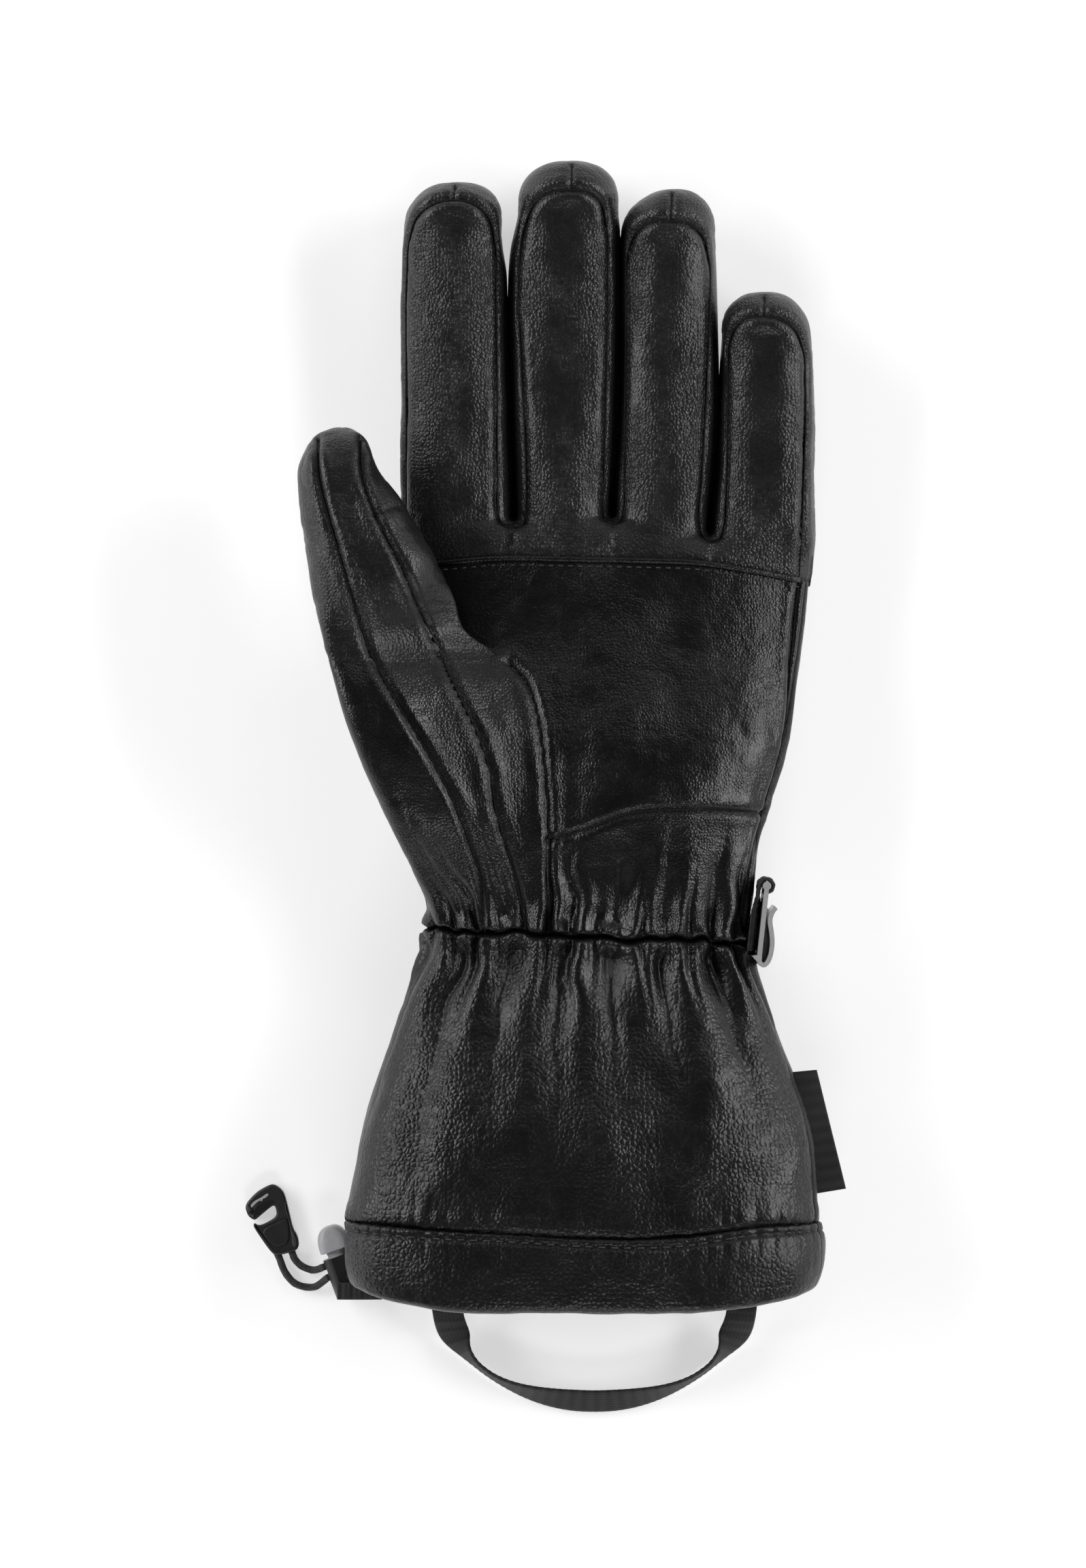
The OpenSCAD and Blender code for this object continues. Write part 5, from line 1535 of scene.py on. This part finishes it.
# The button's cap: where it starts along the lock, its length, half width and half height
CAP_Y, CAP_L, CAP_W, CAP_H = 3.75, 6.65, 4.45, 3.96
CLIP_LINE = [(0.3, 17.9), (2.1, 17), (3.5, 15.4), (4.7, 10.6), (5.8, 5.8), (7, 4), (7.5, 1.4), (6.7, -0.2),
             (1.3, -1.6), (-0.4, -0.3), (-4.9, 6.2), (-4.8, 7.4), (-3.2, 6.4), (1.5, 9), (1.1, 11.8),
             (0.3, 12.1), (-3.5, 8.9), (-4.6, 8), (-6.4, 9.2), (-7.3, 12.2), (-4.2, 15.6), (-1.5, 17.2)]


def build_clip():
    """Moulded pairing clip: the body, a raised wedge towards its cords, a lighter strip along its
    right edge that is a painted highlight of its lit bevel, a pale inlay with a notched edge
    above the mouth, and the rivet of its small lever."""
    wedge = [(-3.2, 5.3), (2.2, 8.0), (4.4, 8.8), (4.9, 4.8), (4.5, 1.7), (0.5, 0.7)]
    edge_highlight = [(3.6, 13.6), (4.4, 10.4), (5.5, 5.9), (6.6, 3.8), (7.0, 1.6), (6.4, 0.6), (5.5, 1.2),
             (5.3, 4.4), (4.6, 8.0), (3.5, 11.6)]
    inlay = [(-5.7, 12.2), (-4.3, 13.5), (-3.0, 14.1), (-1.0, 15.5), (-0.7, 14.9), (-1.5, 14.2),
             (-2.3, 13.9), (-2.5, 13.2), (-3.2, 13.5), (-4.6, 12.2), (-5.3, 11.4)]
    lever = [(-5.0, 11.5), (-2.2, 13.3), (0.1, 13.9), (0.9, 12.9), (0.2, 12.5), (-3.1, 9.7), (-4.0, 9.2)]
    hinge = [(-6.8, 11.6), (-6.0, 11.9), (-5.2, 10.9), (-4.5, 9.6), (-4.7, 8.7), (-6.1, 9.5)]
    ring = np.radians(around(24))[0]
    rivet = np.stack([-5.6 + 0.62 * np.cos(ring), 10.3 + 0.62 * np.sin(ring)], 1)
    made = [plate("clip_" + label, rounded(line, cuts), low, high, soft, material, CLIP_AT)
            for label, line, cuts, low, high, soft, material in (
                ("body", CLIP_LINE, 3, 0.0, 3.0, 0.55, CLIP),
                ("wedge", wedge, 2, 2.9, 3.25, 0.3, CLIP),
                ("edge_highlight", edge_highlight, 2, 2.9, 3.2, 0.28, CLIP_HINGE_AND_EDGE_SHEEN),
                ("inlay", inlay, 1, 2.9, 3.15, 0.12, BUTTON),
                ("lever", lever, 2, 2.9, 3.1, 0.15, BARREL),
                ("hinge", hinge, 2, 2.9, 3.2, 0.25, CLIP_HINGE_AND_EDGE_SHEEN),
                ("rivet", rivet, 0, 3.1, 3.4, 0.2, BARREL))]
    for piece in made:
        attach(piece, "cuff")
    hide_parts("pairing_clip")


def build_button_cap():
    """Smooth cap of the lock's button. Its half width is CAP_W * cos^0.72 of the turn along its
    length, its half height CAP_H * cos^0.2, and its cross-section a superellipse."""
    turn = np.linspace(0, np.radians(88), 26)[:, None]
    c, s = section(around(72), 3.4)
    w = CAP_W * np.cos(turn) ** 0.72
    h = CAP_H * np.cos(turn) ** 0.2
    y = CAP_Y + 0.9 + (CAP_L - 0.9) * np.sin(turn)
    dome = np.stack(np.broadcast_arrays(w * c, y, h * s), -1)
    base = np.stack([np.broadcast_arrays(q * CAP_W * c[0], np.full(72, CAP_Y + dy), q * CAP_H * s[0])
                     for q, dy in ((0.5, 0), (0.94, 0), (0.985, 0.08), (1.0, 0.3))]).transpose(0, 2, 1)
    g = np.concatenate([base, dome])
    n, m = g.shape[:2]
    v = np.concatenate([g.reshape(-1, 3), g[-1].mean(0)[None], g[0].mean(0)[None]])
    faces = [tuple(q[::-1]) for q in quads(n, m, True)]
    j = np.arange(m)
    faces += [(int(n * m - m + b), n * m, int(n * m - m + k)) for k, b in zip(j, (j + 1) % m)]
    faces += [(int(k), n * m + 1, int(b)) for k, b in zip(j, (j + 1) % m)]
    wear = np.concatenate([np.repeat(np.linspace(0.2, 0.9, n), m), [0.9, 0.2]])
    cap = make("button_cap", turned(v, TILT, LOCK_POS), faces, BUTTON, marks={"wear": wear})
    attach(cap, "button")


def build_buckle_side():
    """The hook's side wall: a thin plate that fills the bow between the straight bar and the
    spring arm, on the side away from the palm."""
    line = rounded([(0.3, -4.6), (2.1, -6.9), (1.8, -8.2), (1.9, -9.9), (2.5, -12.2), (3.0, -15.1),
                    (2.8, -18.5), (2.1, -20.1), (1.2, -20.5), (0.35, -20.0), (0.3, -12.0)], 2)
    piece = plate("buckle_side", line, 13.3, 14.1, 0.2, ALUMINIUM, (BAR[0], BAR[1], 0), LEAN)
    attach(piece, "buckle")


def build_spring():
    """Coil behind the plunger: three turns of wire between two flat ends."""
    t = np.linspace(0, 1, 150)
    turn = 2 * np.pi * 3 * t
    rise = -7.9 + 2.6 * ease((t - 0.06) / 0.88)
    local = np.stack([2 * np.cos(turn), rise, 2 * np.sin(turn)], 1)
    coil = rope("lock_coil", turned(local, TILT, LOCK_POS), 0.29, WIRE, 10, LOCK_AXIS)
    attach(coil, "cuff")
    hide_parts("lock_spring")
    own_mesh(coil)


build_clip()
build_button_cap()
build_buckle_side()
build_spring()

# ---- Rigid pieces kept from the frame ----------------------------------------------------------


def finish_node(node, material):
    """Gives a kept node its material, and rounds its sharp edges a little."""
    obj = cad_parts[node]
    obj.data.materials.clear()
    obj.data.materials.append(material)
    soft = obj.modifiers.new("soft_edges", "BEVEL")
    soft.width = 0.0002
    soft.segments = 2
    soft.limit_method = "ANGLE"
    soft.angle_limit = math.radians(38)
    soft.harden_normals = False


finish_node("hook_buckle", ALUMINIUM)
finish_node("lock_barrel", BARREL)
finish_node("lock_button", BUTTON)
